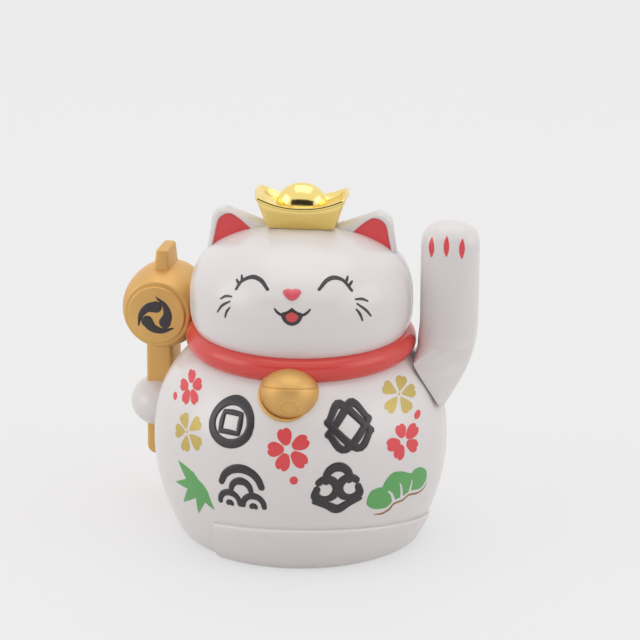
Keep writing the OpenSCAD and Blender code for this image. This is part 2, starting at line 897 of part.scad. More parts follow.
module solar_leads() {
    z0 = cell_z - lead_drop;
    y0 = (cell_reach - cover_t - cell_t - lead_r / 2 - z0 * sin(cell_tilt)) / cos(cell_tilt);
    y1 = board_l / 4;
    color("red") for (x = [lead_x, lead_x - lead_pitch])
        lead([for (s = [0 : 0.1 : 1])
            let (up = 1 - s)
            [x, y1 + (y0 - y1) * up * up, board_top + 3 * fit + (z0 - board_top) * up]]);
}

// ---- Base ----

screw_sunk = 0.2;           // depth of the screw heads below the base plate's face

module standoffs() {
    at_frame_corners() children();
    at_board_corners() children();
}

module base_plate() {
    color("white") difference() {
        union() {
            cylinder(r = plate_r, h = plate_t);
            standoffs() cylinder(r = 2.2, h = plate_t + standoff_h);
        }
        standoffs() translate([0, 0, plate_t]) cylinder(r = screw_r + grip, h = far);
        at_bosses() translate([0, 0, -plate_t - 1])
            cylinder(r = screw_r + fit, h = plate_t + 2);
        at_bosses() translate([0, 0, -plate_t - 1])
            cylinder(r = screw_head_r + fit, h = head_h + screw_sunk + 1);
    }
}

module base_screws() {
    length = plate_t - head_h - screw_sunk + boss_h - 2.5;
    color("silver") at_bosses()
        translate([0, 0, head_h + screw_sunk + length - plate_t])
            mirror([0, 0, 1]) screw(length);
}

body_front();
body_back();
head_front();
head_back();
collar();
bell();
ingot();
mallet_barrel();
mallet_handle();
holding_paw();
arm_front();
arm_back();
pivot_shaft();
pendulum();
pendulum_magnet();
pivot_frame();
frame_screws();
coil_bobbin();
coil_winding();
circuit_board();
board_screws();
capacitor();
drive_chip();
solar_frame();
solar_cover();
solar_cell();
solar_leads();
base_plate();
base_screws();
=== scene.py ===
from math import cos, hypot, pi, radians, sin, sqrt, tan

import bmesh
import bpy
import numpy as np
from mathutils import Matrix, geometry


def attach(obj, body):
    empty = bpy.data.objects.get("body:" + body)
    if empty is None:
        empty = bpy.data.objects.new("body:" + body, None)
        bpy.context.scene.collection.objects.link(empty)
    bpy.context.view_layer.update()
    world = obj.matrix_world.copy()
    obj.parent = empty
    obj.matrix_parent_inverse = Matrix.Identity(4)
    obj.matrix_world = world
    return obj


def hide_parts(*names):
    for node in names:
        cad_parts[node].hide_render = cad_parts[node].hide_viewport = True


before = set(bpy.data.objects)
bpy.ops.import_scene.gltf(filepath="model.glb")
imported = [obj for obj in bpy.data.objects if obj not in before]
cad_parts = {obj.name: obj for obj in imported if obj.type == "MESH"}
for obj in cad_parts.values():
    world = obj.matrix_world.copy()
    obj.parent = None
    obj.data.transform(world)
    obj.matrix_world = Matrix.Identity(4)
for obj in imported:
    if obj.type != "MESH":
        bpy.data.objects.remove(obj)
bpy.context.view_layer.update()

# ---- Body shells ----
# Two glossy white plastic halves, injection moulded, that meet in a fine line at the
# sides. A flat on one shoulder lets the waving arm turn, a window is cut at the back, and
# the front half carries a raised band round the foot.
body_r, belly_z = 34.7, 22.2
body_rise, body_drop = 30.4, 39.3
body_top_power, body_foot_power = 2.6, 1.82
body_wall, neck_z = 1.6, 47.5
foot_edge, plate_bore = 1.3, 23.95
shoulder_tilt, shoulder_depth, pivot_z = radians(33.4), 0.9, 39.2
shoulder_fill, shaft_hole = 0.22, 1.9
cell_tilt, cell_depth, cell_z = radians(22), 3.4, 33
window_w, window_h = 21.2, 12.6
flat_round = 0.35
seam_width, seam_depth = 0.13, 0.08
band_t, band_z, band_slope, band_end = 1.2, 5.4, radians(10.8), 17.7
band_round, band_corner, band_root = 0.6, 1.7, 0.9
band_thin, band_fade = 0.85, 0.8


def bulge(z, r, mid, rise, top_power, drop, low_power):
    """Radius of a turned form at height z, widest at mid."""
    t = np.where(z > mid, (z - mid) / rise, (mid - z) / drop)
    power = np.where(z > mid, top_power, low_power)
    return r * np.sqrt(np.clip(1 - np.abs(t) ** power, 0, 1))


def body_at(z):
    return bulge(z, body_r, belly_z, body_rise, body_top_power, body_drop, body_foot_power)


def soft_min(a, b, k):
    """The smaller of two values, rounded over a width k where they meet."""
    h = np.clip(0.5 + 0.5 * (b - a) / k, 0, 1)
    return b * (1 - h) + a * h - k * h * (1 - h)


shoulder_reach = (
    float(body_at(pivot_z)) * cos(shoulder_tilt) + pivot_z * sin(shoulder_tilt) - shoulder_depth
)
cell_reach = float(body_at(cell_z)) * cos(cell_tilt) + cell_z * sin(cell_tilt) - cell_depth
window_up = cell_z * cos(cell_tilt) - float(body_at(cell_z)) * sin(cell_tilt)


def shoulder_at(z, out=0.0):
    """Side distance of the shoulder flat, or of a face that lies out from it."""
    return (shoulder_reach + out - z * sin(shoulder_tilt)) / cos(shoulder_tilt)


def body_surface(turn, z):
    """Distance of the shell from the axis, turn being the angle from straight ahead."""
    r = body_at(z)
    side, back = np.sin(turn), -np.cos(turn)
    flat = shoulder_at(z, shoulder_fill) / np.maximum(side, 1e-3)
    r = np.where(side > 0.3, soft_min(r, flat, flat_round), r)
    window = (cell_reach - z * sin(cell_tilt)) / (cos(cell_tilt) * np.maximum(back, 1e-3))
    return np.where(back > 0.3, soft_min(r, window, flat_round), r)


def polar(r, turn, z):
    """Points at a distance from the upright axis, turn being the angle from straight ahead."""
    return np.stack([r * np.sin(turn), -r * np.cos(turn), z + 0 * r], -1)


def in_scene(name, data):
    thing = bpy.data.objects.new(name, data)
    bpy.context.scene.collection.objects.link(thing)
    return thing


def outward(piece):
    """Merges the doubles of a closed piece and turns its faces outwards."""
    shape = bmesh.new()
    shape.from_mesh(piece.data)
    bmesh.ops.remove_doubles(shape, verts=shape.verts, dist=2e-6)
    bmesh.ops.recalc_face_normals(shape, faces=shape.faces)
    shape.to_mesh(piece.data)
    shape.free()
    piece.data.set_sharp_from_angle(angle=radians(38))
    return piece


def mesh_piece(name, points, faces, material):
    """A closed, smooth piece from points in millimetres, with its hard edges kept."""
    mesh = bpy.data.meshes.new(name)
    mesh.from_pydata((np.asarray(points) * 0.001).tolist(), [], [list(f) for f in faces])
    mesh.update()
    mesh.shade_smooth()
    mesh.materials.append(material)
    return outward(in_scene(name, mesh))


def combined(*parts):
    """Several lists of points and faces as one."""
    points, faces, base = [], [], 0
    for p, f in parts:
        points.append(np.asarray(p))
        faces += [[int(i) + base for i in face] for face in f]
        base += len(p)
    return np.concatenate(points), faces


def rims_of(faces):
    """Edges that only one face has, in that face's own direction."""
    a, b = faces.ravel(), np.roll(faces, -1, axis=1).ravel()
    directed = set(zip(a.tolist(), b.tolist()))
    return sorted(edge for edge in directed if edge[::-1] not in directed)


def walled(outer, inner, faces):
    """Closes a sheet of faces into a wall: its own side, the other side and the rims."""
    faces = np.asarray(faces)
    n = len(outer)
    rims = [[q, p, p + n, q + n] for p, q in rims_of(faces)]
    every = faces.tolist() + (faces[:, ::-1] + n).tolist() + rims
    used = np.unique(np.concatenate([np.ravel(f) for f in every]))
    new = np.zeros(2 * n, int)
    new[used] = np.arange(len(used))
    new = new.tolist()
    return np.concatenate([outer, inner])[used], [[new[i] for i in f] for f in every]


def grid_faces(rows, cols, wrap=False):
    """Quads of a grid whose rows run upwards and columns to the right, seen from outside."""
    i = np.arange(rows * cols).reshape(rows, cols)
    if wrap:
        i = np.concatenate([i, i[:, :1]], 1)
    return np.stack([i[:-1, :-1], i[:-1, 1:], i[1:, 1:], i[1:, :-1]], -1).reshape(-1, 4)


def tube(rings, closed_ends=True):
    """Faces over rings of points, each ring closed, with a face at either end."""
    rings = np.asarray(rings, float)
    count, n = rings.shape[:2]
    faces = grid_faces(count, n, wrap=True).tolist()
    if closed_ends:
        faces += [list(range(n))[::-1], list(range((count - 1) * n, count * n))]
    return rings.reshape(-1, 3), faces


def half_turn(start, count, radius):
    """Angles over half a turn, with an extra step beside each seam."""
    step = seam_width / radius
    inside = np.linspace(start + step, start + pi - step, count)
    return np.concatenate([[start], inside, [start + pi]])


def rise_levels(step, top, edge):
    """Heights from the foot up, closer together where its edge is rounded."""
    return np.concatenate([edge * (1 - np.cos(np.linspace(0, pi / 2, 7))),
                           np.linspace(edge, top, int(top / step))[1:]])


def shell_half(start, surface, levels, wall_at, open_at, count, radius):
    """Outer and inner points of one moulded half, and the faces that it keeps."""
    turn, z = np.meshgrid(half_turn(start, count, radius), levels)
    r = surface(turn, z)
    r[:, [0, -1]] -= seam_depth
    outer = polar(r, turn, z).reshape(-1, 3)
    inner = polar(wall_at(r, z), turn, z).reshape(-1, 3)
    faces = grid_faces(*turn.shape)
    middle = outer[faces].mean(1)
    return outer, inner, faces[~open_at(middle)]


def body_outside(turn, z):
    down = np.clip(1 - z / foot_edge, 0, 1)
    return body_surface(turn, z) - foot_edge * (1 - np.sqrt(1 - down * down))


def body_inside(r, z):
    """The inner side of the wall, which steps in at the foot to seat the base plate."""
    climb = np.clip((z - body_wall) / 0.6, 0, 1)
    return plate_bore * (1 - climb) + (r - body_wall) * climb


def body_openings(p):
    """Which points lie in the window at the back or in the hole for the arm's shaft."""
    up = p[:, 2] * cos(cell_tilt) - p[:, 1] * sin(cell_tilt) - window_up
    window = (np.abs(p[:, 0]) < window_w / 2) & (np.abs(up) < window_h / 2) & (p[:, 1] > 0)
    along = p[:, 0] * sin(shoulder_tilt) - (p[:, 2] - pivot_z) * cos(shoulder_tilt)
    along -= shoulder_at(pivot_z) * sin(shoulder_tilt)
    return window | ((np.hypot(along, p[:, 1]) < shaft_hole) & (p[:, 0] > 0))


def band_section(turn, out, share):
    """One upright section of the foot band. Its top edge falls away from the middle, and its
    end on the mallet side is cut straight, with a round lower corner."""
    rounding = min(band_round, out)
    top = band_z + (float(body_at(8)) + band_t) * cos(turn) * tan(band_slope)
    shoulder = top - band_round
    ring = [(-band_root, top), (0.0, top)]
    ring += [(out - rounding * (1 - sin(a)), top - band_round * (1 - cos(a)))
             for a in np.linspace(0, pi / 2, 7)]
    ring += [(out, shoulder + (foot_edge - shoulder) * k)
             for k in (0.15, 0.3, 0.45, 0.6, 0.75, 0.9)]
    ring += [(out - foot_edge * (1 - cos(a)), foot_edge * (1 - sin(a)))
             for a in np.linspace(0, pi / 2, 7)]
    ring += [(-band_root - 1, 0.0)]
    section = []
    for o, z in ring:
        radius = float(body_at(max(z, 0.0))) + o
        low = max(0.0, 1 - z / band_corner)
        end = band_end - band_corner * (1 - sqrt(1 - low * low))
        start = -np.arcsin(min(0.99, end / radius))
        section.append(polar(radius, start + (pi / 2 - start) * share, z))
    return section


def foot_band():
    """Sections from the cut end to the side seam, towards which the band grows thinner."""
    start = -np.arcsin(band_end / (float(body_at(3)) + band_t))
    sections = []
    for share in np.linspace(0, 1, 180):
        turn = start + (pi / 2 - start) * share
        end_round = 1 - min(1.0, (turn - start) * body_r / 0.5)
        fade = max(0.0, (share - band_fade) / (1 - band_fade))
        out = band_t * (1 - band_thin * fade ** 1.5) * sqrt(1 - end_round ** 2) + 0.02
        sections.append(band_section(turn, out, share))
    return tube(sections)


def fill(tree, socket, value):
    """Links another node's output to a socket, or writes a plain value into it."""
    if isinstance(value, bpy.types.NodeSocket):
        tree.links.new(value, socket)
    else:
        socket.default_value = value


def add_node(tree, kind, **values):
    """A node with its settings and inputs filled in by name."""
    node = tree.nodes.new(kind)
    for key, value in values.items():
        if hasattr(node, key):
            setattr(node, key, value)
        else:
            fill(tree, node.inputs[key.replace("_", " ")], value)
    return node


def maths(tree, operation, *values):
    node = add_node(tree, "ShaderNodeMath", operation=operation)
    for socket, value in zip(node.inputs, values):
        fill(tree, socket, value)
    return node.outputs["Value"]


def noise(tree, scale, detail):
    """A cloud pattern that sits still on the piece."""
    place = add_node(tree, "ShaderNodeTexCoord").outputs["Object"]
    return add_node(tree, "ShaderNodeTexNoise", Vector=place, Scale=scale,
                    Detail=detail).outputs["Fac"]


def marks_group(name, *inputs):
    """Starts a node group that turns named inputs into a colour, a roughness and a normal."""
    tree = bpy.data.node_groups.new(name, "ShaderNodeTree")
    for key in inputs:
        kind = "NodeSocketColor" if key.endswith("Color") else "NodeSocketFloat"
        tree.interface.new_socket(name=key, in_out="INPUT", socket_type=kind)
    for key, kind in (("Color", "NodeSocketColor"), ("Roughness", "NodeSocketFloat"),
                      ("Normal", "NodeSocketVector")):
        tree.interface.new_socket(name=key, in_out="OUTPUT", socket_type=kind)
    given, result = tree.nodes.new("NodeGroupInput"), tree.nodes.new("NodeGroupOutput")
    return tree, given.outputs, result.inputs


def moulded_group():
    """Marks of moulding: a slow drift of tint and gloss, fine dust and a faint ripple."""
    tree, given, result = marks_group("moulded_surface", "Color", "Drift", "Roughness",
                                      "Roughness Drift", "Ripple", "Ripple Scale")

    def span(source, high):
        return add_node(tree, "ShaderNodeMapRange", Value=source, From_Min=0.3, From_Max=0.7,
                        To_Max=high).outputs["Result"]

    shade = add_node(tree, "ShaderNodeMix", data_type="RGBA", blend_type="MULTIPLY",
                     Factor=span(noise(tree, 45, 3), given["Drift"]), A=given["Color"],
                     B=(0.62, 0.56, 0.52, 1))
    fill(tree, result["Color"], shade.outputs["Result"])
    clouds = span(noise(tree, 160, 4), given["Roughness Drift"])
    dust = span(noise(tree, 2600, 2), maths(tree, "MULTIPLY", given["Roughness Drift"], 0.6))
    dull = maths(tree, "ADD", maths(tree, "ADD", given["Roughness"], clouds), dust)
    fill(tree, result["Roughness"], dull)
    ripple = maths(tree, "MULTIPLY", noise(tree, given["Ripple Scale"], 1.5), given["Ripple"])
    bump = add_node(tree, "ShaderNodeBump", Strength=1.0, Distance=0.0001, Height=ripple)
    fill(tree, result["Normal"], bump.outputs["Normal"])
    return tree


moulded_surface = moulded_group()


def finish(name, surface, marks, **sockets):
    """A material whose colour, roughness and relief come from a group of surface marks."""
    material = bpy.data.materials.new(name)
    material.use_nodes = True
    tree = material.node_tree
    shader = tree.nodes["Principled BSDF"].inputs
    group = tree.nodes.new("ShaderNodeGroup")
    group.node_tree = surface
    for key, value in marks.items():
        group.inputs[key].default_value = (*value, 1) if key.endswith("Color") else value
    for source, target in (("Color", "Base Color"), ("Roughness", "Roughness"),
                           ("Normal", "Normal")):
        fill(tree, shader[target], group.outputs[source])
    for key, value in sockets.items():
        shader[key.replace("_", " ")].default_value = value
    return material


def plastic(name, color, roughness, drift=0.05, rough_drift=0.05, ripple=0.25, ripple_scale=260,
            **sockets):
    """A moulded plastic, lacquer or ink, with its own strength of each moulding mark."""
    marks = {"Color": color, "Drift": drift, "Roughness": roughness,
             "Roughness Drift": rough_drift, "Ripple": ripple, "Ripple Scale": ripple_scale}
    return finish(name, moulded_surface, marks, **sockets)


white_shell = plastic("white_shell", (0.80, 0.765, 0.76), 0.16, drift=0.03, ripple=0.12,
                      ripple_scale=140, Subsurface_Weight=0.12, Subsurface_Scale=0.0015,
                      Subsurface_Radius=(1.0, 0.75, 0.65))


def body_half(start):
    levels = rise_levels(0.45, neck_z, foot_edge)
    return walled(*shell_half(start, body_outside, levels, body_inside, body_openings, 224,
                              body_r))


body_front = mesh_piece("body_shell_front", *combined(body_half(-pi / 2), foot_band()),
                        white_shell)
body_back = mesh_piece("body_shell_back", *body_half(pi / 2), white_shell)
for piece, node in ((body_front, "body_front"), (body_back, "body_back")):
    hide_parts(node)
    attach(piece, "figure")

# ---- Head shells and ears ----
# The head is two more white halves on the same seam. Each ear is a thick rounded plate,
# and its front holds a shallow hollow with an even white rim.
head_r, head_z, head_rise, head_drop = 26.2, 57.1, 18.0, 14.4
head_top_power, head_low_power, head_wall = 2.67, 3.0, 1.6
head_seat = head_z + head_rise - 0.35
ear_edge, ear_back, ear_hollow, ear_flat = 3.1, 1.5, 0.4, 2.35
ear_spots = [(9.5, head_z + 15.1), (head_r - 6.9, head_z + 10.5), (18.15, head_z + 18.3)]
red_spots = [(12.6, head_z + 12.7), (18.0, head_z + 11.4), (16.9, head_z + 16.95)]
red_round = 3.1


def head_at(z):
    return bulge(z, head_r, head_z, head_rise, head_top_power, head_drop, head_low_power)


def head_slope():
    """Points up the head's outline at even spacing, from the neck to the flat on the crown."""
    z = head_z + head_rise * np.sin(np.linspace(-0.7, pi / 2, 4000))
    z = z[(z >= neck_z) & (z <= head_seat)]
    r = head_at(z)
    along = np.concatenate([[0], np.cumsum(np.hypot(np.diff(r), np.diff(z)))])
    even = np.linspace(0, along[-1], 96)
    return np.interp(even, along, z)


def head_half(start):
    """One half of the hollow head, closed over the flat crown."""
    turn, z = np.meshgrid(half_turn(start, 180, head_r), head_slope())
    r = head_at(z)
    crown = np.linspace(1, 0.04, 14)[1:, None]
    r = np.concatenate([r, r[-1:] * crown])
    turn, z = (np.concatenate([v, np.repeat(v[-1:], len(crown), 0)]) for v in (turn, z))
    normal_r, normal_z = np.gradient(z, axis=0), -np.gradient(r, axis=0)
    length = np.hypot(normal_r, normal_z) + 1e-9
    normal_r, normal_z = normal_r / length, normal_z / length
    normal_r[-8:], normal_z[-8:] = 0.0, 1.0
    shrink = np.zeros_like(r)
    shrink[:, [0, -1]] = seam_depth
    outer = polar(r - shrink * normal_r, turn, z - shrink * normal_z)
    inner = polar(np.maximum(r - head_wall * normal_r, 0.3), turn, z - head_wall * normal_z)
    return walled(outer.reshape(-1, 3), inner.reshape(-1, 3), grid_faces(*turn.shape))


def swollen(spots, radius):
    """Outline of a triangle, its sides pushed out by a radius and its corners round."""
    points = []
    for k in range(3):
        a, b, c = (np.array(spots[(k + j) % 3]) for j in (-1, 0, 1))
        first, second = b - a, c - b
        start = np.arctan2(first[1], first[0]) - pi / 2
        stop = np.arctan2(second[1], second[0]) - pi / 2
        stop += 2 * pi * np.round((start + 1 - stop) / (2 * pi))
        points += [b + radius * np.array([cos(t), sin(t)]) for t in np.linspace(start, stop, 14)]
        out = radius * np.array([cos(stop), sin(stop)])
        points += [b + (c - b) * s + out for s in np.linspace(0, 1, 8)[1:-1]]
    return np.array(points)


def ear_outline(side, spots, radius):
    """The outline of an ear, or of its red hollow, on either side of the head."""
    outline = swollen(spots, radius)
    if side < 0:
        outline = (outline * [-1, 1])[::-1]
    return outline


def ear_rings(side, profile):
    """One half of an ear: rings that lie a share of the way from the hollow to the rim, or
    that are the rim grown or shrunk, each at its own depth."""
    hollow = ear_outline(side, red_spots, red_round)
    rings = []
    for share, growth, y in profile:
        outline = hollow * (1 - share) + ear_outline(side, ear_spots, growth) * share
        if share < 0:
            middle = hollow.mean(0)
            outline = middle + (hollow - middle) * (1 + share)
        rings.append(np.stack([outline[:, 0], np.full(len(outline), y), outline[:, 1]], -1))
    return np.array(rings)


rim_turn, waist_turn = np.arcsin(ear_flat / ear_edge), np.arccos(ear_back / ear_edge)
rim_y = ear_back - ear_edge * cos(rim_turn)
floor_y = rim_y + ear_hollow
ear_half = ear_edge * sqrt(1 - (ear_back / ear_edge) ** 2) - 0.06
front_profile = [(-0.97, 0, floor_y), (-0.5, 0, floor_y), (-0.06, 0, floor_y),
                 (0, 0, floor_y - 0.08)]
front_profile += [(0.16 * sin(a), ear_flat, rim_y + 0.32 * (1 - sin(a)))
                  for a in np.linspace(0.1, pi / 2, 5)]
front_profile += [(share, ear_flat, rim_y - 0.03) for share in (0.35, 0.6, 0.85)]
front_profile += [(1, ear_edge * sin(a), ear_back - ear_edge * cos(a))
                  for a in np.linspace(rim_turn, waist_turn - 0.03, 8)]
front_profile += [(1, ear_half, 0.0)]
back_profile = [(1, ear_half, 0.0)]
back_profile += [(1, ear_edge * sin(a), ear_back - ear_edge * cos(a))
                 for a in np.linspace(waist_turn + 0.03, pi - 0.02, 16)]
back_profile += [(0.5, 0, ear_back + ear_edge), (-0.97, 0, ear_back + ear_edge)]

for name, node, start, profile in (
        ("head_shell_front", "head_front", -pi / 2, front_profile),
        ("head_shell_back", "head_back", pi / 2, back_profile)):
    ears = [tube(ear_rings(side, profile)) for side in (-1, 1)]
    piece = mesh_piece(name, *combined(head_half(start), *ears), white_shell)
    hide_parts(node)
    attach(piece, "figure")

red_ink = plastic("red_ink", (0.79, 0.075, 0.085), 0.3, drift=0.12, ripple=0.2)
red_profile = [(-0.97, 0, floor_y - 0.05), (-0.5, 0, floor_y - 0.05), (-0.05, 0, floor_y - 0.05),
               (-0.01, 0, floor_y - 0.08), (-0.01, 0, floor_y + 0.1), (-0.97, 0, floor_y + 0.1)]
for side, name in ((-1, "ear_red_left"), (1, "ear_red_right")):
    piece = mesh_piece(name, *tube(ear_rings(side, red_profile)), red_ink)
    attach(piece, "figure")

# ---- Printed flowers, leaves and ornaments ----
# Inks on the belly: sakura in red and gold, pressed on from ahead with a soft pad, a bamboo
# spray, a pine, and four black ornaments laid on thickly, so that their edges stand proud.


def curve(points, steps, closed=False):
    """A smooth line through points."""
    p = np.asarray(points, float)
    n = len(p)
    count = n if closed else n - 1
    line = []
    for i in range(count):
        if closed:
            a, b, c, d = (p[(i + k) % n] for k in (-1, 0, 1, 2))
        else:
            b, c = p[i], p[i + 1]
            a = p[i - 1] if i else 2 * b - c
            d = p[i + 2] if i + 2 < n else 2 * c - b
        for t in np.arange(steps) / steps:
            line.append(0.5 * (2 * b + (c - a) * t + (2 * a - 5 * b + 4 * c - d) * t * t
                               + (3 * b - a - 3 * c + d) * t ** 3))
    if not closed:
        line.append(p[-1])
    return np.array(line)


def stroke(points, widths):
    """Outline of a brush stroke through points, with its width at each and round ends."""
    data = curve([(*p, w) for p, w in zip(points, widths)], steps=6)
    line, half = data[:, :2], np.maximum(data[:, 2], 0.04) / 2
    ahead = np.gradient(line, axis=0)
    ahead /= np.linalg.norm(ahead, axis=1)[:, None]
    across = np.stack([-ahead[:, 1], ahead[:, 0]], 1)
    left, right = line + across * half[:, None], line - across * half[:, None]

    def cap(k, direction):
        return [line[k] + half[k] * direction * (cos(a) * across[k] + sin(a) * ahead[k])
                for a in np.linspace(0, pi, 8)[1:-1]]
    return np.concatenate([left, cap(-1, 1), right[::-1], cap(0, -1)])


def ringed(center, radius, width, start=0.0, stop=2 * pi):
    """A curved stroke that follows a circle, with one width or several spread along it."""
    count = max(5, int(abs(stop - start) * 2.2) + 3)
    points = [(center[0] + radius * cos(t), center[1] + radius * sin(t))
              for t in np.linspace(start, stop, count)]
    widths = np.atleast_1d(width)
    return stroke(points, np.interp(np.linspace(0, 1, count), np.linspace(0, 1, len(widths)),
                                    widths))


def disc(center, radius, count=28):
    """Outline of a round dot."""
    turn = np.arange(count) * 2 * pi / count
    return np.array([(center[0] + radius * cos(t), center[1] + radius * sin(t)) for t in turn])


def turned_flat(points, turn):
    """A flat drawing turned anticlockwise."""
    c, s = cos(radians(turn)), sin(radians(turn))
    return points @ np.array([[c, s], [-s, c]])


def petals(shape, tips, squash):
    """Loops of a flower's petals, one towards each tip, drawn as they look when the flower
    is seen aslant and so is narrower by a share."""
    side = curve(shape, steps=4)
    outline = np.concatenate([side, [(0.93, 0.0)], side[::-1] * [1, -1]])
    even = [np.array([length * cos(radians(turn)) / squash, length * sin(radians(turn))])
            for turn, length in tips]
    width = np.mean([np.linalg.norm(tip) for tip in even])
    loops = []
    for tip in even:
        across = np.array([-tip[1], tip[0]]) / np.linalg.norm(tip) * width
        loops.append((outline[:, :1] * tip + outline[:, 1:] * across) * [squash, 1])
    return loops


def leaf_edges(points, swell):
    """A pointed outline whose edges bow outwards a little."""
    p = np.asarray(points, float)
    area = np.sum(p[:, 0] * np.roll(p[:, 1], -1) - np.roll(p[:, 0], -1) * p[:, 1])
    out = []
    for a, b in zip(p, np.roll(p, -1, 0)):
        edge = b - a
        side = np.array([edge[1], -edge[0]]) * np.sign(area)
        for t in (0, 0.25, 0.5, 0.75):
            out.append(a + edge * t + side * swell * 4 * t * (1 - t))
    return np.array(out)


def winding(points, loop):
    """How many times a loop goes round each point."""
    a, b = loop, np.roll(loop, -1, 0)
    x, y = points[:, :1], points[:, 1:]
    above = (a[:, 1] <= y) & (b[:, 1] > y)
    below = (a[:, 1] > y) & (b[:, 1] <= y)
    side = (b[:, 0] - a[:, 0]) * (y - a[:, 1]) - (x - a[:, 0]) * (b[:, 1] - a[:, 1])
    return (above & (side > 0)).sum(1) - (below & (side < 0)).sum(1)


def inked(ink, bare, step):
    """Triangles that fill the ink loops and leave the bare ones open."""
    points, edges = [], []
    for loop in ink + bare:
        n = len(points)
        points += [tuple(p) for p in loop]
        edges += [(n + i, n + (i + 1) % len(loop)) for i in range(len(loop))]
    every = np.concatenate(ink)
    low, high = every.min(0), every.max(0)
    gx, gy = np.meshgrid(np.arange(low[0], high[0], step), np.arange(low[1], high[1], step * 0.87))
    gx[1::2] += step / 2
    dots = np.stack([gx.ravel(), gy.ravel()], 1)
    inside = np.zeros(len(dots), bool)
    for loop in ink:
        inside |= winding(dots, loop) != 0
    points += [tuple(p) for p in dots[inside]]
    verts, _, tris, *_ = geometry.delaunay_2d_cdt(
        [tuple(map(float, p)) for p in points], edges, [], 0, 1e-4)
    verts = np.array([tuple(v) for v in verts])
    tris = np.array(tris)
    middle = verts[tris].mean(1)
    kept = np.zeros(len(tris), bool)
    for loop in ink:
        kept |= winding(middle, loop) != 0
    for loop in bare:
        kept &= winding(middle, loop) == 0
    tris = tris[kept]
    used = np.zeros(len(verts), bool)
    used[tris.ravel()] = True
    new = np.cumsum(used) - 1
    return verts[used], new[tris]


def edge_distance(points, tris):
    """Distance of each point from the edge of a filled shape."""
    rim = np.array(rims_of(tris))
    p, q = points[rim[:, 0]], points[rim[:, 1]]
    d = q - p
    t = np.clip(((points[:, None] - p) * d).sum(-1) / np.maximum((d * d).sum(-1), 1e-12), 0, 1)
    return np.sqrt(((points[:, None] - p - t[..., None] * d) ** 2).sum(-1).min(1))


ink_edge, ink_root = 0.03, 0.12


def printed(name, loops, place, material, bare=(), lift=0.04, rounding=0.0, step=0.8,
            body="figure"):
    """Ink of a given thickness on a curved surface, as a closed skin."""
    points, tris = inked([np.asarray(p, float) for p in loops],
                         [np.asarray(p, float) for p in bare], step)
    height = np.full(len(points), lift)
    if rounding:
        t = np.clip(edge_distance(points, tris) / rounding, 0, 1)
        height = ink_edge + (lift - ink_edge) * np.sqrt(1 - (1 - t) ** 2)
    top = place(points[:, 0], points[:, 1], height)
    under = place(points[:, 0], points[:, 1], np.full(len(points), -ink_root))
    piece = mesh_piece(name, *walled(top, under, tris), material)
    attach(piece, body)


def rise_of(surface, turn, z):
    """How fast a turned form widens with height."""
    return (surface(turn, z + 0.05) - surface(turn, z - 0.05)) / 0.1


def lifted(surface, turn, z, lift):
    """Points that stand off a turned form, square to it."""
    rise = rise_of(surface, turn, z)
    out = lift / np.sqrt(1 + rise * rise)
    return polar(surface(turn, z) + out, turn, z - out * rise)


def on_turned(surface, turn, z0):
    """Where a flat drawing lands on a turned form, at an angle and height."""
    turn = radians(turn)
    radius, rise = float(surface(turn, z0)), float(rise_of(surface, turn, z0))

    def place(u, v, lift):
        return lifted(surface, turn + u / radius, z0 + v / hypot(1, rise), lift)
    return place


def on_belly(turn, z):
    return on_turned(body_surface, turn, z)


def belly(turn, z):
    return body_at(z) + 0 * turn


pad_turn, pad_rise = radians(5.3), radians(18.5)
pad_right = np.array([cos(pad_turn), sin(pad_turn), 0])
pad_up = np.array([-sin(pad_turn) * sin(pad_rise), cos(pad_turn) * sin(pad_rise), cos(pad_rise)])
pad_out = np.cross(pad_right, pad_up)


def pressed(turn, z0):
    """Where a flat drawing lands when a soft pad presses it on from ahead and above."""
    centre = polar(body_at(z0), np.array(radians(turn)), z0)

    def place(u, v, lift):
        flat = centre + np.multiply.outer(u, pad_right) + np.multiply.outer(v, pad_up)
        along = np.zeros(len(flat))
        for _ in range(12):
            p = flat + along[:, None] * pad_out
            away = np.hypot(p[:, 0], p[:, 1]) - body_at(p[:, 2])
            along = along - away / 1.2
        return lifted(belly, np.arctan2(p[:, 0], -p[:, 1]), p[:, 2], lift)
    return place


gold_ink = plastic("gold_ink", (0.60, 0.46, 0.13), 0.34, drift=0.3, ripple=0.5, ripple_scale=900,
                   Metallic=0.3)
green_ink = plastic("green_ink", (0.13, 0.43, 0.13), 0.34, drift=0.18, ripple=0.2)
black_ink = plastic("black_ink", (0.036, 0.031, 0.036), 0.30, drift=0.2, ripple=0.3,
                    ripple_scale=700)

broad = [(0.20, 0.02), (0.24, 0.13), (0.36, 0.22), (0.55, 0.31), (0.74, 0.335), (0.90, 0.27),
         (0.99, 0.16), (0.985, 0.07)]
slim = [(0.15, 0.01), (0.24, 0.08), (0.42, 0.19), (0.62, 0.29), (0.80, 0.335), (0.93, 0.27),
        (1.0, 0.15), (0.99, 0.07)]
for name, turn, z, squash, tips in (
        ("sakura_red_left", -53.4, 40.2, 0.62,
         ((84, 3.9), (16, 2.85), (-68, 4.15), (-111, 4.1), (169, 2.5))),
        ("sakura_red_middle", 0.8, 31.6, 0.96,
         ((105, 4.95), (28, 5.15), (-42, 5.4), (-111, 5.1), (180, 4.75))),
        ("sakura_red_right", 49.7, 30.3, 0.80,
         ((106, 4.05), (49, 4.7), (-26, 3.6), (-111, 4.4), (-165, 4.1)))):
    printed(name, petals(broad, tips, squash), pressed(turn, z), red_ink)
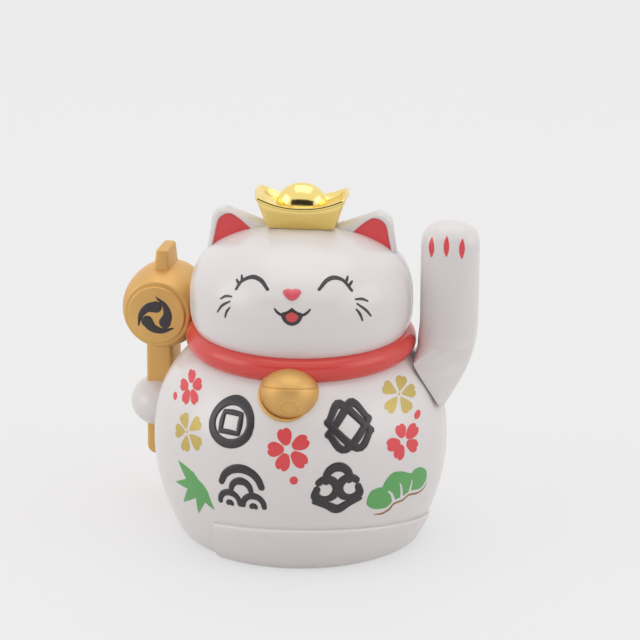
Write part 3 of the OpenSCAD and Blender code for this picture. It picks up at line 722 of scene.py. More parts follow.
for name, turn, z, squash, tips in (
        ("sakura_gold_left", -45.0, 31.2, 0.66,
         ((103, 4.3), (41, 4.1), (-46, 4.6), (-97, 4.5), (175, 2.85))),
        ("sakura_gold_right", 54.6, 40.1, 0.85,
         ((80, 4.2), (14, 3.95), (-58, 4.65), (-126, 4.75), (151, 4.2)))):
    printed(name, petals(slim, tips, squash) + [disc((0, 0), 0.3, 12) * [squash, 1]],
            pressed(turn, z), gold_ink)
printed("petal_left", [disc((0, 0), 1, 20) * [0.48, 0.96]], pressed(-60.8, 36.9), red_ink)
printed("petal_right", [turned_flat(disc((0, 0), 1, 20) * [0.68, 1.15], -22)],
        pressed(60.7, 34.8), red_ink)
printed("dot_middle", [disc((0, 0), 0.95)], pressed(3.1, 24.4), red_ink)

bamboo = [(-5.63, 5.24), (-2.59, 4.78), (0.29, 3.84), (1.75, 2.45), (3.0, 1.75), (4.3, 0.4),
          (5.19, -2.3), (5.84, -4.31), (3.21, -2.96), (0.0, -6.91), (0.26, -2.59), (-5.26, -5.42),
          (-2.35, -0.98), (-7.4, -0.78), (-2.57, 1.45)]
printed("bamboo_spray", [leaf_edges(bamboo, 0.012)], on_belly(-40.1, 18.4), green_ink)
pine = [(-8.5, -0.8), (-7.6, 1.4), (-5.7, 2.0), (-4.5, 2.0), (-3.8, 3.2), (-1.8, 4.8), (1.0, 4.6),
        (4.4, 3.2), (5.3, 3.8), (7.9, 3.7), (10.4, 1.9), (10.6, -0.6), (8.3, -1.9), (4.6, -1.3),
        (2.1, -2.0), (-0.9, -2.4), (-2.8, -3.7), (-6.1, -3.4), (-8.1, -2.2)]
slits = [stroke([(-2.7, 0.5), (-1.6, -0.6), (-0.6, -2.8)], [0.35, 0.7, 0.95]),
         stroke([(0.75, 1.6), (1.35, 0.0), (1.7, -2.6)], [0.35, 0.7, 0.95]),
         stroke([(4.7, 1.45), (4.65, 0.2), (4.2, -1.9)], [0.35, 0.65, 0.9])]
printed("pine_crown", [curve(pine, closed=True, steps=4)], on_belly(46.0, 18.8), green_ink,
        bare=slits)
brown_ink = plastic("brown_ink", (0.33, 0.19, 0.05), 0.34, drift=0.3, ripple=0.5,
                    ripple_scale=900, Metallic=0.3)
printed("pine_line", [stroke([(-6.1, -4.9), (-3.7, -5.1), (-1.7, -4.4), (-0.5, -3.3), (2.2, -3.1),
                              (4.2, -2.3), (7.4, -2.8), (9.9, -2.5), (11.4, -1.4)],
                             [0.2, 0.5, 0.6, 0.5, 0.5, 0.5, 0.5, 0.4, 0.15])],
        on_belly(46.0, 18.8), brown_ink)

coin = [ringed((0, 0.2), 5.0, (1.9, 2.3, 1.9, 2.4, 1.9)),
        stroke([(-2.3, 2.4), (0, 2.55), (2.3, 2.4)], [1.1, 1.3, 1.2]),
        stroke([(-2.3, -2.1), (0, -2.0), (2.3, -2.1)], [1.2, 1.3, 1.1]),
        stroke([(-2.3, 2.4), (-2.4, 0.2), (-2.3, -2.1)], [1.1, 1.4, 1.2]),
        stroke([(2.3, 2.4), (2.4, 0.2), (2.3, -2.1)], [1.2, 1.4, 1.1])]
cloud = [ringed((-2.7, 0.6), 2.4, (0.9, 1.9, 2.1, 1.7), -2.6, 2.4),
         ringed((2.7, 0.6), 2.4, (0.9, 1.9, 2.1, 1.7), pi + 2.6, pi - 2.4),
         ringed((0, 3.0), 2.8, (1.7, 2.3, 1.7), -0.2, pi + 0.2),
         stroke([(-5.6, -2.6), (-2.6, -3.4), (0, -4.6), (2.6, -3.4), (5.6, -2.6)],
                [0.9, 1.9, 2.3, 1.9, 0.9]),
         stroke([(-4.9, 0.6), (-5.4, -1.2), (-4.4, -2.6)], [1.7, 1.8, 1.2]),
         stroke([(4.9, 0.6), (5.4, -1.2), (4.4, -2.6)], [1.7, 1.8, 1.2])]
knot = [stroke([(-5.0, 1.4), (-1.4, 5.2), (5.2, -1.4)], [1.6, 2.0, 1.7]),
        stroke([(5.0, 1.4), (1.4, 5.2), (-5.2, -1.4)], [1.6, 2.0, 1.7]),
        stroke([(-5.0, -1.4), (-1.4, -5.2), (5.2, 1.4)], [1.6, 2.0, 1.7]),
        stroke([(5.0, -1.4), (1.4, -5.2), (-5.2, 1.4)], [1.6, 2.0, 1.7])]
waves = [ringed((-3.0, -4.6), 2.6, (1.3, 1.7, 1.3), 0.0, pi),
         ringed((3.0, -4.6), 2.6, (1.3, 1.7, 1.3), 0.0, pi),
         ringed((-3.0, -4.9), 0.5, 1.2, 0.2, pi - 0.2),
         ringed((3.0, -4.9), 0.5, 1.2, 0.2, pi - 0.2),
         ringed((0, -0.9), 5.2, (1.6, 2.2, 1.6), 0.25, pi - 0.25),
         ringed((0, -1.2), 2.5, (1.3, 1.9, 1.3), 0.1, pi - 0.1)]
for name, turn, z, shape in (("ornament_coin", -24.0, 35.8, coin),
                             ("ornament_waves", -17.6, 21.8, waves),
                             ("ornament_knot", 25.7, 35.9, knot),
                             ("ornament_cloud", 19.9, 21.5, cloud)):
    printed(name, shape, on_belly(turn, z), black_ink, lift=0.22, rounding=0.5,
            step=0.3)

# ---- Face ----
# Eyes, whiskers and mouth are the same pad-printed ink; the nose is a drop of enamel that
# stands proud and shines.


def head_surface(turn, z):
    return head_at(z) + 0 * turn


def on_face(turn, z):
    return on_turned(head_surface, turn, z)


face_ink = plastic("face_ink", (0.044, 0.038, 0.044), 0.3, drift=0.2, ripple=0.2)
nose_enamel = plastic("nose_enamel", (0.80, 0.12, 0.155), 0.12, drift=0.3, ripple=0.1)
mouth_red = plastic("mouth_red", (0.69, 0.075, 0.085), 0.3, drift=0.15, ripple=0.2)

printed("eye_left", [
    stroke([(-3.7, -1.9), (-3.0, 0.35), (-0.7, 1.75), (2.0, 1.2), (4.0, -0.65)],
           [0.7, 0.85, 1.0, 0.95, 0.75]),
    stroke([(-2.9, 0.3), (-3.3, 0.95), (-3.75, 1.6)], [0.7, 0.66, 0.45]),
    stroke([(-3.3, -0.6), (-3.9, -0.1), (-4.55, 0.4)], [0.7, 0.66, 0.45])],
    on_face(-22.9, 66.8), face_ink, step=0.5)
printed("eye_right", [
    stroke([(-3.95, -0.95), (-2.1, 1.0), (0.1, 1.65), (2.15, 0.75), (3.5, -2.05)],
           [0.75, 0.95, 1.0, 0.85, 0.7]),
    stroke([(2.7, 0.3), (3.2, 0.9), (3.65, 1.5)], [0.7, 0.66, 0.45]),
    stroke([(3.2, -0.7), (3.75, -0.2), (4.3, 0.25)], [0.7, 0.66, 0.45])],
    on_face(25.1, 67.3), face_ink, step=0.5)
printed("nose", [curve([(-2.15, 0.5), (-1.2, 1.2), (0, 1.08), (1.1, 1.25), (2.1, 0.6), (1.4, -0.8),
                        (0.05, -1.6), (-1.35, -0.85)], closed=True, steps=5)],
        on_face(0.5, 65.7), nose_enamel, lift=0.55, rounding=1.3, step=0.28)
mouth_place = on_face(0.8, 61.3)
printed("mouth_fill", [curve([(-1.4, -0.3), (-0.7, 0.25), (0, 0.6), (0.75, 0.25), (1.5, -0.3),
                              (1.0, -1.3), (0, -1.75), (-1.0, -1.3)], closed=True, steps=4)],
        mouth_place, mouth_red, lift=0.09, step=0.5)
printed("mouth_line", [
    stroke([(-4.0, 1.1), (-3.3, 0.35), (-2.2, -0.1), (-1.0, 0.5), (0, 1.3)],
           [0.4, 0.6, 0.65, 0.6, 0.5]),
    stroke([(4.15, 1.2), (3.4, 0.45), (2.3, -0.05), (1.0, 0.5), (0, 1.3)],
           [0.4, 0.6, 0.65, 0.6, 0.5]),
    curve([(-2.5, 0.1), (-1.1, 0.8), (0, 1.45), (1.1, 0.8), (2.5, 0.1), (1.75, -1.75), (0, -2.6),
           (-1.75, -1.75)], closed=True, steps=4)],
    mouth_place, face_ink, lift=0.05, step=0.5)
for name, turn, z, hairs in (
        ("whiskers_left", -36.3, 61.75, (((-1.9, 0.7), (-0.5, 1.6), (1.25, 1.85)),
                                         ((-2.5, -2.6), (-1.1, -0.7), (1.0, 0.7)),
                                         ((0.0, -3.3), (0.4, -1.9), (1.25, -0.7)))),
        ("whiskers_right", 38.5, 62.05, (((-1.65, 1.85), (0.1, 1.65), (1.55, 0.95)),
                                         ((-1.4, 0.8), (0.7, -0.95), (2.05, -2.65)),
                                         ((-1.75, -0.45), (-0.9, -1.65), (-0.3, -3.3))))):
    printed(name, [stroke(h, [0.42, 0.64, 0.42]) for h in hairs], on_face(turn, z), face_ink,
            step=0.5)

# ---- Collar ----
# A glossy red plastic ring that covers the joint of head and body. It is moulded in one
# piece and pressed over the neck.
collar_a, collar_b, collar_r = 2.7, 2.95, 24.4


def turned(profile, count):
    """A closed profile of distance and height, turned about the upright axis."""
    profile = np.asarray(profile, float)
    rings = [polar(profile[:, 0], np.full(len(profile), t), profile[:, 1])
             for t in np.arange(count) * 2 * pi / count]
    return tube(rings + rings[:1], closed_ends=False)


collar_red = plastic("collar_red", (0.74, 0.07, 0.06), 0.17, drift=0.12, ripple=0.3,
                     ripple_scale=120)
profile = []
for turn in np.linspace(0, 2 * pi, 48, endpoint=False):
    r, z = collar_r + collar_a * cos(turn), neck_z + collar_b * sin(turn)
    seat = float(body_at(z)) if z < neck_z else float(head_at(z))
    profile.append((max(r, seat - 0.25), z))
collar = mesh_piece("collar_ring", *turned(profile, 220), collar_red)
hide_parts("collar")
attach(collar, "figure")

# ---- Bell ----
# A small bell in satin gold paint, moulded in one: a low dome over a round bowl, a fine
# groove between them, a pressed ring low on the front, and a rim on the left where the
# bell sits against the collar and the body.
bell_r, bell_cap, bell_z, bell_ahead, bell_tilt = 6.75, 5.8, 42.8, 2.1, radians(12)
groove_turn, groove_deep = radians(15.5), 0.16
press_r, press_w, press_flat = 2.1, 0.2, 0.8
press_turn, press_side = radians(-26), radians(5)
rim_from, rim_to, rim_fine, rim_full = radians(146), radians(318), 0.08, 0.34


def fillet(corners, steps):
    """An open profile of (distance, height, rounding) with its corners rounded."""
    out = [np.array(corners[0][:2], float)]
    for before, here, after in zip(corners, corners[1:], corners[2:]):
        a, b, c = (np.array(p[:2], float) for p in (before, here, after))
        r = here[2]
        u, v = a - b, c - b
        reach = min(r, 0.48 * np.linalg.norm(u), 0.48 * np.linalg.norm(v))
        if reach < 1e-6:
            out.append(b)
            continue
        p, q = b + u / np.linalg.norm(u) * reach, b + v / np.linalg.norm(v) * reach
        for t in np.linspace(0, 1, steps):
            out.append((1 - t) ** 2 * p + 2 * t * (1 - t) * b + t * t * q)
    out.append(np.array(corners[-1][:2], float))
    return np.array(out)


def metal_group():
    """Metallic paint or plating: fine flakes, a slow drift, and duller, darker patches."""
    tree, given, result = marks_group("metal_surface", "Color", "Worn Color", "Drift",
                                      "Roughness", "Flake")
    clouds = noise(tree, 90, 4)
    worn = add_node(tree, "ShaderNodeMapRange", Value=clouds, From_Min=0.35, From_Max=0.7,
                    To_Max=given["Drift"])
    shade = add_node(tree, "ShaderNodeMix", data_type="RGBA", Factor=worn.outputs["Result"],
                     A=given["Color"], B=given["Worn Color"])
    fill(tree, result["Color"], shade.outputs["Result"])
    dull = maths(tree, "MULTIPLY_ADD", clouds, 0.12, given["Roughness"])
    fill(tree, result["Roughness"], dull)
    flakes = maths(tree, "MULTIPLY", noise(tree, 4200, 1), given["Flake"])
    bump = add_node(tree, "ShaderNodeBump", Strength=1.0, Distance=0.00004, Height=flakes)
    fill(tree, result["Normal"], bump.outputs["Normal"])
    return tree


metal_surface = metal_group()


def metal(name, color, worn, roughness, drift=0.4, flake=0.5, metallic=1.0):
    """A metal or metallic paint, and the tint that it wears to."""
    marks = {"Color": color, "Worn Color": worn, "Drift": drift, "Roughness": roughness,
             "Flake": flake}
    return finish(name, metal_surface, marks, Metallic=metallic)


satin_gold = metal("satin_gold", (0.75, 0.45, 0.15), (0.60, 0.33, 0.095), 0.42, drift=0.35,
                   metallic=0.55)


def bell_bowl():
    """The bell's outline from the foot of the bowl over the groove to the top, turned."""
    def bowl(turn):
        return bell_r * cos(turn), bell_r * sin(turn)

    def dome(turn, cut=0.0):
        return bell_r * cos(turn) - cut, bell_cap * sin(turn)

    profile = [(0.0, -bell_r)]
    profile += [bowl(a) for a in np.radians(np.arange(-86, 1, 4))]
    profile += [dome(a) for a in np.radians((4, 8, 11))]
    steps = ((-0.05, 0), (-0.02, 0), (-0.01, groove_deep), (0.01, groove_deep), (0.025, 0),
             (0.06, 0))
    profile += fillet([(*dome(groove_turn + off, cut), 0.06) for off, cut in steps], 3).tolist()
    profile += [dome(a) for a in np.radians(np.arange(24, 87, 4))]
    return turned(profile + [(0.0, bell_cap)], 120)


def pressed_ring():
    """A fine raised ring that lies on the bowl, low and a little to one side."""
    ahead = np.array([sin(press_side), -cos(press_side), 0])
    right = np.array([cos(press_side), sin(press_side), 0])
    middle = cos(press_turn) * ahead + np.array([0, 0, sin(press_turn)])
    above = np.array([0, 0, cos(press_turn)]) - sin(press_turn) * ahead
    rings = []
    for t in np.linspace(0, 2 * pi, 49):
        ring = []
        for a in np.linspace(0, 2 * pi, 12, endpoint=False):
            off = (press_r + press_w * cos(a)) / bell_r
            d = middle + off * cos(t) * right + off * sin(t) * above
            ring.append((bell_r + press_w * sin(a) * press_flat) * d / np.linalg.norm(d))
        rings.append(ring)
    return tube(rings, closed_ends=False)


def seat_at(z):
    """How far out the collar, or else the body, reaches at a height."""
    k = min(1.0, abs(z - neck_z) / collar_b)
    ring = collar_r + collar_a * sqrt(1 - k * k)
    return max(ring, float(body_at(z)) if z < neck_z else 0.0)


def bell_rim():
    """A rim that follows the line where the bell meets what it sits on."""
    ahead = np.array([0, -1, 0])
    rings = []
    for t in np.linspace(rim_from, rim_to, 80):
        around = np.array([cos(t), 0, sin(t)])
        low, high = 0.3, 2.6
        for _ in range(24):
            lean = (low + high) / 2
            p = bell_place + bell_r * (cos(lean) * ahead + sin(lean) * around)
            low, high = (lean, high) if hypot(p[0], p[1]) > seat_at(p[2]) else (low, lean)
        full = max(0.0, sin((t - rim_from) / (rim_to - rim_from) * pi)) ** 0.6
        thick = rim_fine + rim_full * full
        middle = p + around * (0.6 * full - 0.3) + ahead * (0.15 + 0.3 * full)
        rings.append([middle + thick * (cos(a) * around + sin(a) * ahead)
                      for a in np.linspace(0, 2 * pi, 14, endpoint=False)])
    return tube(rings)


bell_place = np.array([0, -collar_r - bell_ahead, bell_z])
bell_lean = np.array(Matrix.Rotation(-bell_tilt, 3, "X"))
points, faces = combined(bell_bowl(), pressed_ring())
bell = mesh_piece("bell_gold", *combined((points @ bell_lean.T + bell_place, faces), bell_rim()),
                  satin_gold)
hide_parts("bell")
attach(bell, "figure")

# ---- Ingot ----
# A boat-shaped gold ingot in vacuum-plated plastic, mirror bright: a flat front and back,
# upturned ends, a rolled rim and a polished dome. A peg under it presses into the crown.
ingot_a, ingot_b, ingot_dome, dome_seat = 11.0, 5.4, 10.2, 4.4
ingot_bow, ingot_round, ingot_gap = 0.07, 0.8, 0.05
dome_w, dome_d = 0.56 * ingot_a, 0.84 * ingot_b


def boat_ring(a, b, corner, mid, tip):
    """One level of the ingot: two flat sides between pointed ends, its rim rising to them.
    a and b are its half length and width, corner is where the flat side ends, and mid and
    tip are the heights of its middle and its ends."""
    corners = [np.array(c, float) for c in (
        (a, 0), (corner, b), (-corner, b), (-a, 0), (-corner, -b), (corner, -b))]
    out = []
    for k, c in enumerate(corners):
        before, after = corners[k - 1] - c, corners[(k + 1) % 6] - c
        back, far = np.linalg.norm(before), np.linalg.norm(after)
        reach = min(ingot_round, 0.4 * back, 0.4 * far)
        s, e = c + before / back * reach, c + after / far * reach
        out += [(1 - t) ** 2 * s + 2 * t * (1 - t) * c + t * t * e for t in np.linspace(0, 1, 7)]
        last = c + after - after / far * min(ingot_round, 0.4 * far)
        out += [e + (last - e) * t for t in np.linspace(0, 1, 14)[1:-1]]
    x, y = np.array(out).T
    bow = ingot_bow * b * (1 - (x / a) ** 2)
    y = y + np.sign(y) * bow * (np.abs(y) > 0.6 * b)
    return np.stack([x, y, mid + (tip - mid) * np.abs(x / a) ** 2.2], -1)


plated_gold = metal("plated_gold", (0.92, 0.72, 0.26), (0.84, 0.60, 0.19), 0.08, drift=0.3,
                    flake=0.05)
foot = [(1.0, 0.6, 0.6, 0.0, 0.0), (6.9, 2.9, 6.5, 0.0, 0.0), (7.85, 3.35, 7.45, 0.05, 0.05),
        (8.3, 3.6, 7.9, 0.45, 0.5)]
sides = [(8.3 + 2.35 * t, 3.6 + 1.35 * t, 7.9 + 2.1 * t, 0.45 + 4.25 * t, 0.5 + 6.5 * t)
         for t in (0.25, 0.5, 0.75)]
ledge = [(10.6, 4.9, 10.0, 4.65, 7.0), (10.62, 4.88, 10.02, 4.72, 7.15)]
rim = [(10.9, 5.2, 10.28, 4.82, 7.4), (ingot_a, 5.38, 10.38, 5.0, 7.7),
       (ingot_a, 5.38, 10.38, 5.45, 8.15), (10.85, 5.2, 10.22, 5.7, 8.4),
       (10.5, 4.9, 9.9, 5.65, 8.35), (10.2, 4.65, 9.6, 5.35, 8.0)]
hollow = [(9.2, 4.2, 8.6, 4.8, 6.6), (6.0, 3.4, 5.0, 4.5, 4.9), (1.0, 0.6, 0.6, 4.5, 4.5)]
boat = tube([boat_ring(*level) for level in foot + sides + ledge + rim + hollow])
dome = tube([[(dome_w * cos(a) * cos(t), dome_d * cos(a) * sin(t),
               dome_seat + (ingot_dome - dome_seat) * sin(a))
              for t in np.arange(64) * 2 * pi / 64]
             for a in np.linspace(-0.5, pi / 2 - 0.02, 26)])
points, faces = combined(boat, dome)
ingot = mesh_piece("ingot_gold", points + [0, 0, head_seat + ingot_gap], faces, plated_gold)
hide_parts("ingot")
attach(ingot, "figure")

# ---- Mallet ----
# A lucky mallet in satin gold paint: a swelling barrel with a raised disc on each end, and
# a square handle driven through it, whose upper end narrows to a block. Raised black
# commas are printed on the front disc.
barrel_r, barrel_end_r, barrel_half, barrel_swell = 10.0, 7.9, 10.0, 2.4
disc_r, disc_rise, disc_round = 7.0, 0.85, 0.65
barrel_x, barrel_y, barrel_z, mallet_turn = 33.9, 13.6, 50.0, radians(6.5)
handle_w, handle_d, handle_round, handle_out, handle_back = 6.4, 9.4, 0.9, 1.5, 3.1
handle_foot, handle_top, foot_round = 11.3, 64.4, 2.4
knob_w, knob_top_w, knob_round = 6.0, 2.9, 0.7


def at_mallet(p):
    """Points of the mallet's own frame carried to its place on the body."""
    p = np.asarray(p, float)
    c, s = cos(-mallet_turn), sin(-mallet_turn)
    return np.stack([c * p[..., 0] - s * p[..., 1] - barrel_x,
                     s * p[..., 0] + c * p[..., 1] + barrel_y, p[..., 2]], -1)


front_end = [(0.0, -barrel_half, 0), (disc_r, -barrel_half, disc_round),
             (disc_r, disc_rise - barrel_half, 0.1)]
belly_line = [(barrel_r - (barrel_r - barrel_end_r) * abs(s) ** barrel_swell,
               s * (barrel_half - disc_rise), 0.35 if abs(s) == 1 else 0.15)
              for s in np.linspace(-1, 1, 33)]
back_end = [(x, -y, rounding) for x, y, rounding in front_end[::-1]]
points, faces = turned(fillet(front_end + belly_line + back_end, 4), 140)
points = np.stack([points[:, 0], points[:, 2], -points[:, 1]], -1) + [0, 0, barrel_z]
mallet_barrel = mesh_piece("mallet_barrel_gold", at_mallet(points), faces, satin_gold)
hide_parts("mallet_barrel")
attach(mallet_barrel, "figure")


def block_ring(x, y, z, w, d, r):
    """A level of a block with rounded corners."""
    return [(x + sx * (w / 2 - r) + r * cos(a), y + sy * (d / 2 - r) + r * sin(a), z)
            for k, (sx, sy) in enumerate(((1, 1), (-1, 1), (-1, -1), (1, -1)))
            for a in np.linspace(0, pi / 2, 6) + k * pi / 2]


def foot_ring(k, cut=0.0):
    """A level of the handle's rounded lower end, k being its share of the rounding."""
    cut = cut + foot_round * (1 - sqrt(1 - (1 - k) ** 2))
    return block_ring(cut / 3 - handle_out, handle_back, handle_foot + foot_round * k,
                      handle_w - 1.4 * cut, handle_d - cut, handle_round)


def knob_ring(z, cut):
    """A level of the block that stands out of the barrel, narrower towards its top."""
    k = np.clip((z - barrel_z - 1) / (handle_top - barrel_z - 2), 0, 1)
    return block_ring(0, 0, z, knob_w + (knob_top_w - knob_w) * k - cut,
                      handle_d - 0.6 * k - cut, knob_round)


bar = [foot_ring(0, 0.8), foot_ring(0.002, 0.3)]
bar += [foot_ring(k) for k in (0.03, 0.08, 0.16, 0.28, 0.42, 0.6, 0.8, 1)]
bar += [block_ring(-handle_out, handle_back, z, handle_w, handle_d, handle_round)
        for z in np.linspace(handle_foot + 3, barrel_z - 4, 12)]
knob = [knob_ring(z, 0) for z in (barrel_z, barrel_z + 1, barrel_z + 7, barrel_z + 11)]
knob += [knob_ring(handle_top - down, cut)
         for down, cut in ((0.5, 0), (0.22, 0.12), (0.06, 0.36), (0, 0.9))]
points, faces = combined(tube(bar), tube(knob))
mallet_handle = mesh_piece("mallet_handle_gold", at_mallet(points), faces, satin_gold)
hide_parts("mallet_handle")
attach(mallet_handle, "figure")


def on_disc(u, v, lift):
    return at_mallet(np.stack([u, -barrel_half - lift, barrel_z - 0.4 + v], -1))


comma = stroke([(2.5, 0.0), (2.05, 2.1), (0.25, 3.7), (-2.4, 4.3)], [2.9, 2.1, 1.3, 0.3])
printed("ornament_commas", [turned_flat(comma, turn) for turn in (90, 210, 330)], on_disc,
        black_ink, lift=0.2, rounding=0.4, step=0.35)

# ---- Holding paw ----
# The paw that grips the handle, a rounded white moulding that is glued to the body's side.
paw_z, paw_h, paw_d, paw_reach, paw_front, paw_sunk = 24.8, 6.2, 8.4, 4.2, 1.5, 0.4
paw_w = handle_w / 2 + paw_reach

points, faces = tube([[(paw_w * cos(a) * cos(t), paw_d * cos(a) * sin(t), paw_h * sin(a))
                       for t in np.arange(72) * 2 * pi / 72]
                      for a in np.linspace(-pi / 2 + 0.02, pi / 2 - 0.02, 44)])
points = at_mallet(points - [handle_out, 0, 0]) + [0, handle_back - paw_front, paw_z]
away = np.hypot(points[:, 0], points[:, 1])
seat = body_at(points[:, 2]) - paw_sunk
points[:, :2] *= np.maximum(1.0, seat / away)[:, None]
holding_paw = mesh_piece("paw_holding", points, faces, white_shell)
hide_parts("holding_paw")
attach(holding_paw, "figure")

# ---- Waving arm ----
# A hollow arm in two glued halves of the same white plastic. It turns on a steel shaft at
# the shoulder, and its three claws are painted marks.
arm_x, arm_w, arm_d, arm_top, arm_gap, arm_wall = 27.9, 13.7, 11.4, 77.0, 0.35, 1.0
arm_bend, arm_foot, arm_cap, arm_flare = 54.0, pivot_z - 6.2, 6.0, 2.9
arm_levels, arm_steps, arm_square, arm_dome, arm_flat = 130, 72, 0.85, 2.4, 0.97
foot_x = float(shoulder_at(arm_foot, arm_gap))


def fall(z, top, span):
    """A smooth step from 0 to 1, downwards over a span from a height."""
    k = np.clip((top - z) / span, 0, 1)
    return k * k * (3 - 2 * k)


def arm_in(z, t):
    """The arm's inner side, which follows the head, the collar and then the shoulder."""
    lean = 0.4 * fall(z, arm_bend - 1, 6) + 0.25 * np.clip(neck_z - 0.9 - z, 0, 2.4)
    return t + np.maximum(shoulder_at(z, arm_gap), arm_x - lean)


def arm_out(z, t):
    """The arm's outer side, drawn in towards its foot in one bow."""
    low = np.clip((arm_bend - z) / (arm_bend - arm_foot), 0, 1)
    return foot_x - t + (arm_x + arm_w - foot_x) * (1 - low ** 2.2)


def arm_deep(z, t):
    """Half the arm from front to back, wider over the shoulder."""
    up = np.clip((z - arm_foot) / 2.2, 0, 1)
    flare = arm_d / 2 - t + arm_flare * fall(z, arm_bend - 3.5, 10)
    return np.maximum(0.02, flare * (1 - (1 - up) ** 2) ** 0.3)


def cap_share(z, t=0.0):
    """How wide the arm is under its round top, as a share of its full width."""
    cap = np.clip((z - arm_top + arm_cap) / (arm_cap - t), 0, 1)
    return (1 - cap ** arm_dome) ** (1 / arm_dome)


def arm_point(turn, z, t):
    """A point of the arm's skin, or of a skin that lies inside it by t."""
    k = cap_share(z, t)
    width = np.maximum(0.04, arm_out(z, t) - arm_in(z, t))
    flat = arm_flat * fall(z, neck_z + 0.5, 4)
    c, s = np.cos(turn), np.sin(turn)
    c, s = np.sign(c) * np.abs(c) ** arm_square, np.sign(s) * np.abs(s) ** arm_square
    x = arm_in(z, t) + width * ((1 - flat) * (1 + k * c) / 2 + flat * np.maximum(0, c))
    return np.stack([x, k * arm_deep(z, t) * s, z + 0 * x], -1)


def arm_half_shell(start):
    """One half of the arm from its foot to the top of the paw."""
    along = (1 - np.cos(np.linspace(0, pi, arm_levels))) / 2
    turn = half_turn(start, arm_steps, 6)
    shells = []
    for t in (0.0, arm_wall):
        low, high = arm_foot + 0.05 + 1.6 * t, arm_top - t
        shells.append(arm_point(*np.meshgrid(turn, low + (high - low) * along), t))
    outer, inner = shells
    for edge in (0, -1):
        outer[:-12, edge, 0] -= seam_depth * np.sign(cos(turn[edge]))
    return walled(outer.reshape(-1, 3), inner.reshape(-1, 3), grid_faces(*outer.shape[:2]))


for name, node, start in (("arm_shell_front", "arm_front", pi),
                          ("arm_shell_back", "arm_back", 0.0)):
    piece = mesh_piece(name, *arm_half_shell(start), white_shell)
    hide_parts(node)
    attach(piece, "waving_arm")


def on_arm(x0, z0):
    """Where a flat drawing lands on the front of the arm."""
    def place(u, v, lift):
        z, x = z0 + v, x0 + u
        k = cap_share(z)
        middle, half = (arm_in(z, 0) + arm_out(z, 0)) / 2, (arm_out(z, 0) - arm_in(z, 0)) / 2
        c = np.clip(np.abs(x - middle) / (k * half), 0, 1) ** (1 / arm_square)
        y = -k * arm_deep(z, 0) * (1 - c * c) ** (arm_square / 2)
        return np.stack([x, y - lift, z], -1)
    return place


claw = stroke([(0.05, 2.2), (0.0, 1.1), (0.0, 0.0), (0.0, -1.1), (0.05, -2.2)],
              [0.3, 1.05, 1.3, 1.05, 0.3])
for name, x, z in (("claw_inner", 30.6, 71.9), ("claw_middle", 34.1, 72.4),
                   ("claw_outer", 37.7, 71.9)):
    printed(name, [claw], on_arm(x, z), red_ink, step=0.4, body="waving_arm")

# ---- Base plate and screws ----
# A flat plate of duller white plastic closes the foot, held by four sunk screws. The
# drive's screws and the arm's shaft are of the same bright steel.
base_white = plastic("base_white", (0.74, 0.71, 0.70), 0.34, drift=0.05, ripple=0.6,
                     ripple_scale=900)
screw_steel = metal("screw_steel", (0.62, 0.61, 0.59), (0.45, 0.43, 0.40), 0.22)


def finish_node(node, material):
    """Gives a solid of the frame its own finish."""
    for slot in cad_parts[node].material_slots:
        slot.material = material


finish_node("base_plate", base_white)
for node in ("base_screws", "frame_screws", "board_screws", "pivot_shaft"):
    finish_node(node, screw_steel)

# ---- Drive ----
# A pendulum with a magnet swings over a coil in the foot and turns the arm's shaft. Its
# frame, coil former, board and parts are plain moulded or bought pieces. The coil is wound
# of fine copper wire, whose outermost turns lie side by side on the winding.
core_r, coil_outer, coil_low, coil_high, drive_x = 2.45, 5.84, 7.25, 10.55, 16.2
coil_turn, wire_r, coil_count = 0.3, 0.15, 11
ivory = plastic("ivory_plastic", (0.72, 0.66, 0.50), 0.4, drift=0.08, ripple=0.5)
black_plastic = plastic("black_plastic", (0.03, 0.03, 0.032), 0.42, drift=0.2, ripple=0.9,
                        ripple_scale=1500)
magnet_grey = metal("magnet_nickel", (0.50, 0.50, 0.52), (0.36, 0.36, 0.37), 0.3)
copper = metal("copper_wire", (0.72, 0.30, 0.14), (0.52, 0.20, 0.09), 0.28)
board_green = plastic("board_green", (0.03, 0.20, 0.07), 0.35, drift=0.3, ripple=0.6,
                      ripple_scale=1200)
sleeve = plastic("capacitor_sleeve", (0.04, 0.05, 0.12), 0.3)
for node, material in (("pendulum", ivory), ("pivot_frame", ivory),
                       ("coil_bobbin", black_plastic), ("pendulum_magnet", magnet_grey),
                       ("circuit_board", board_green), ("capacitor", sleeve),
                       ("drive_chip", black_plastic)):
    finish_node(node, material)


def grown(name, build, material, place=(0, 0, 0), turn=(0, 0, 0), **values):
    """A piece made by a node tree from named inputs, then kept as a plain mesh."""
    tree = bpy.data.node_groups.new(name, "GeometryNodeTree")
    tree.interface.new_socket(name="Geometry", in_out="OUTPUT", socket_type="NodeSocketGeometry")
    for key, value in values.items():
        kind = "NodeSocketInt" if isinstance(value, int) else "NodeSocketFloat"
        tree.interface.new_socket(name=key, in_out="INPUT", socket_type=kind)
    shape = build(tree, tree.nodes.new("NodeGroupInput").outputs)
    put = add_node(tree, "GeometryNodeTransform", Geometry=shape, Translation=place,
                   Rotation=turn)
    real = add_node(tree, "GeometryNodeRealizeInstances", Geometry=put.outputs["Geometry"])
    paint = add_node(tree, "GeometryNodeSetMaterial", Geometry=real.outputs["Geometry"],
                     Material=material)
    add_node(tree, "NodeGroupOutput", Geometry=paint.outputs["Geometry"])
    piece = in_scene(name, bpy.data.meshes.new(name + "_start"))
    maker = piece.modifiers.new("maker", "NODES")
    maker.node_group = tree
    for item in tree.interface.items_tree:
        if item.in_out == "INPUT":
            maker[item.identifier] = values[item.name]
    bpy.context.view_layer.update()
    made = piece.evaluated_get(bpy.context.evaluated_depsgraph_get())
    mesh = bpy.data.meshes.new_from_object(made)
    piece.modifiers.remove(maker)
    piece.data = mesh
    mesh.name = name
    return outward(piece)


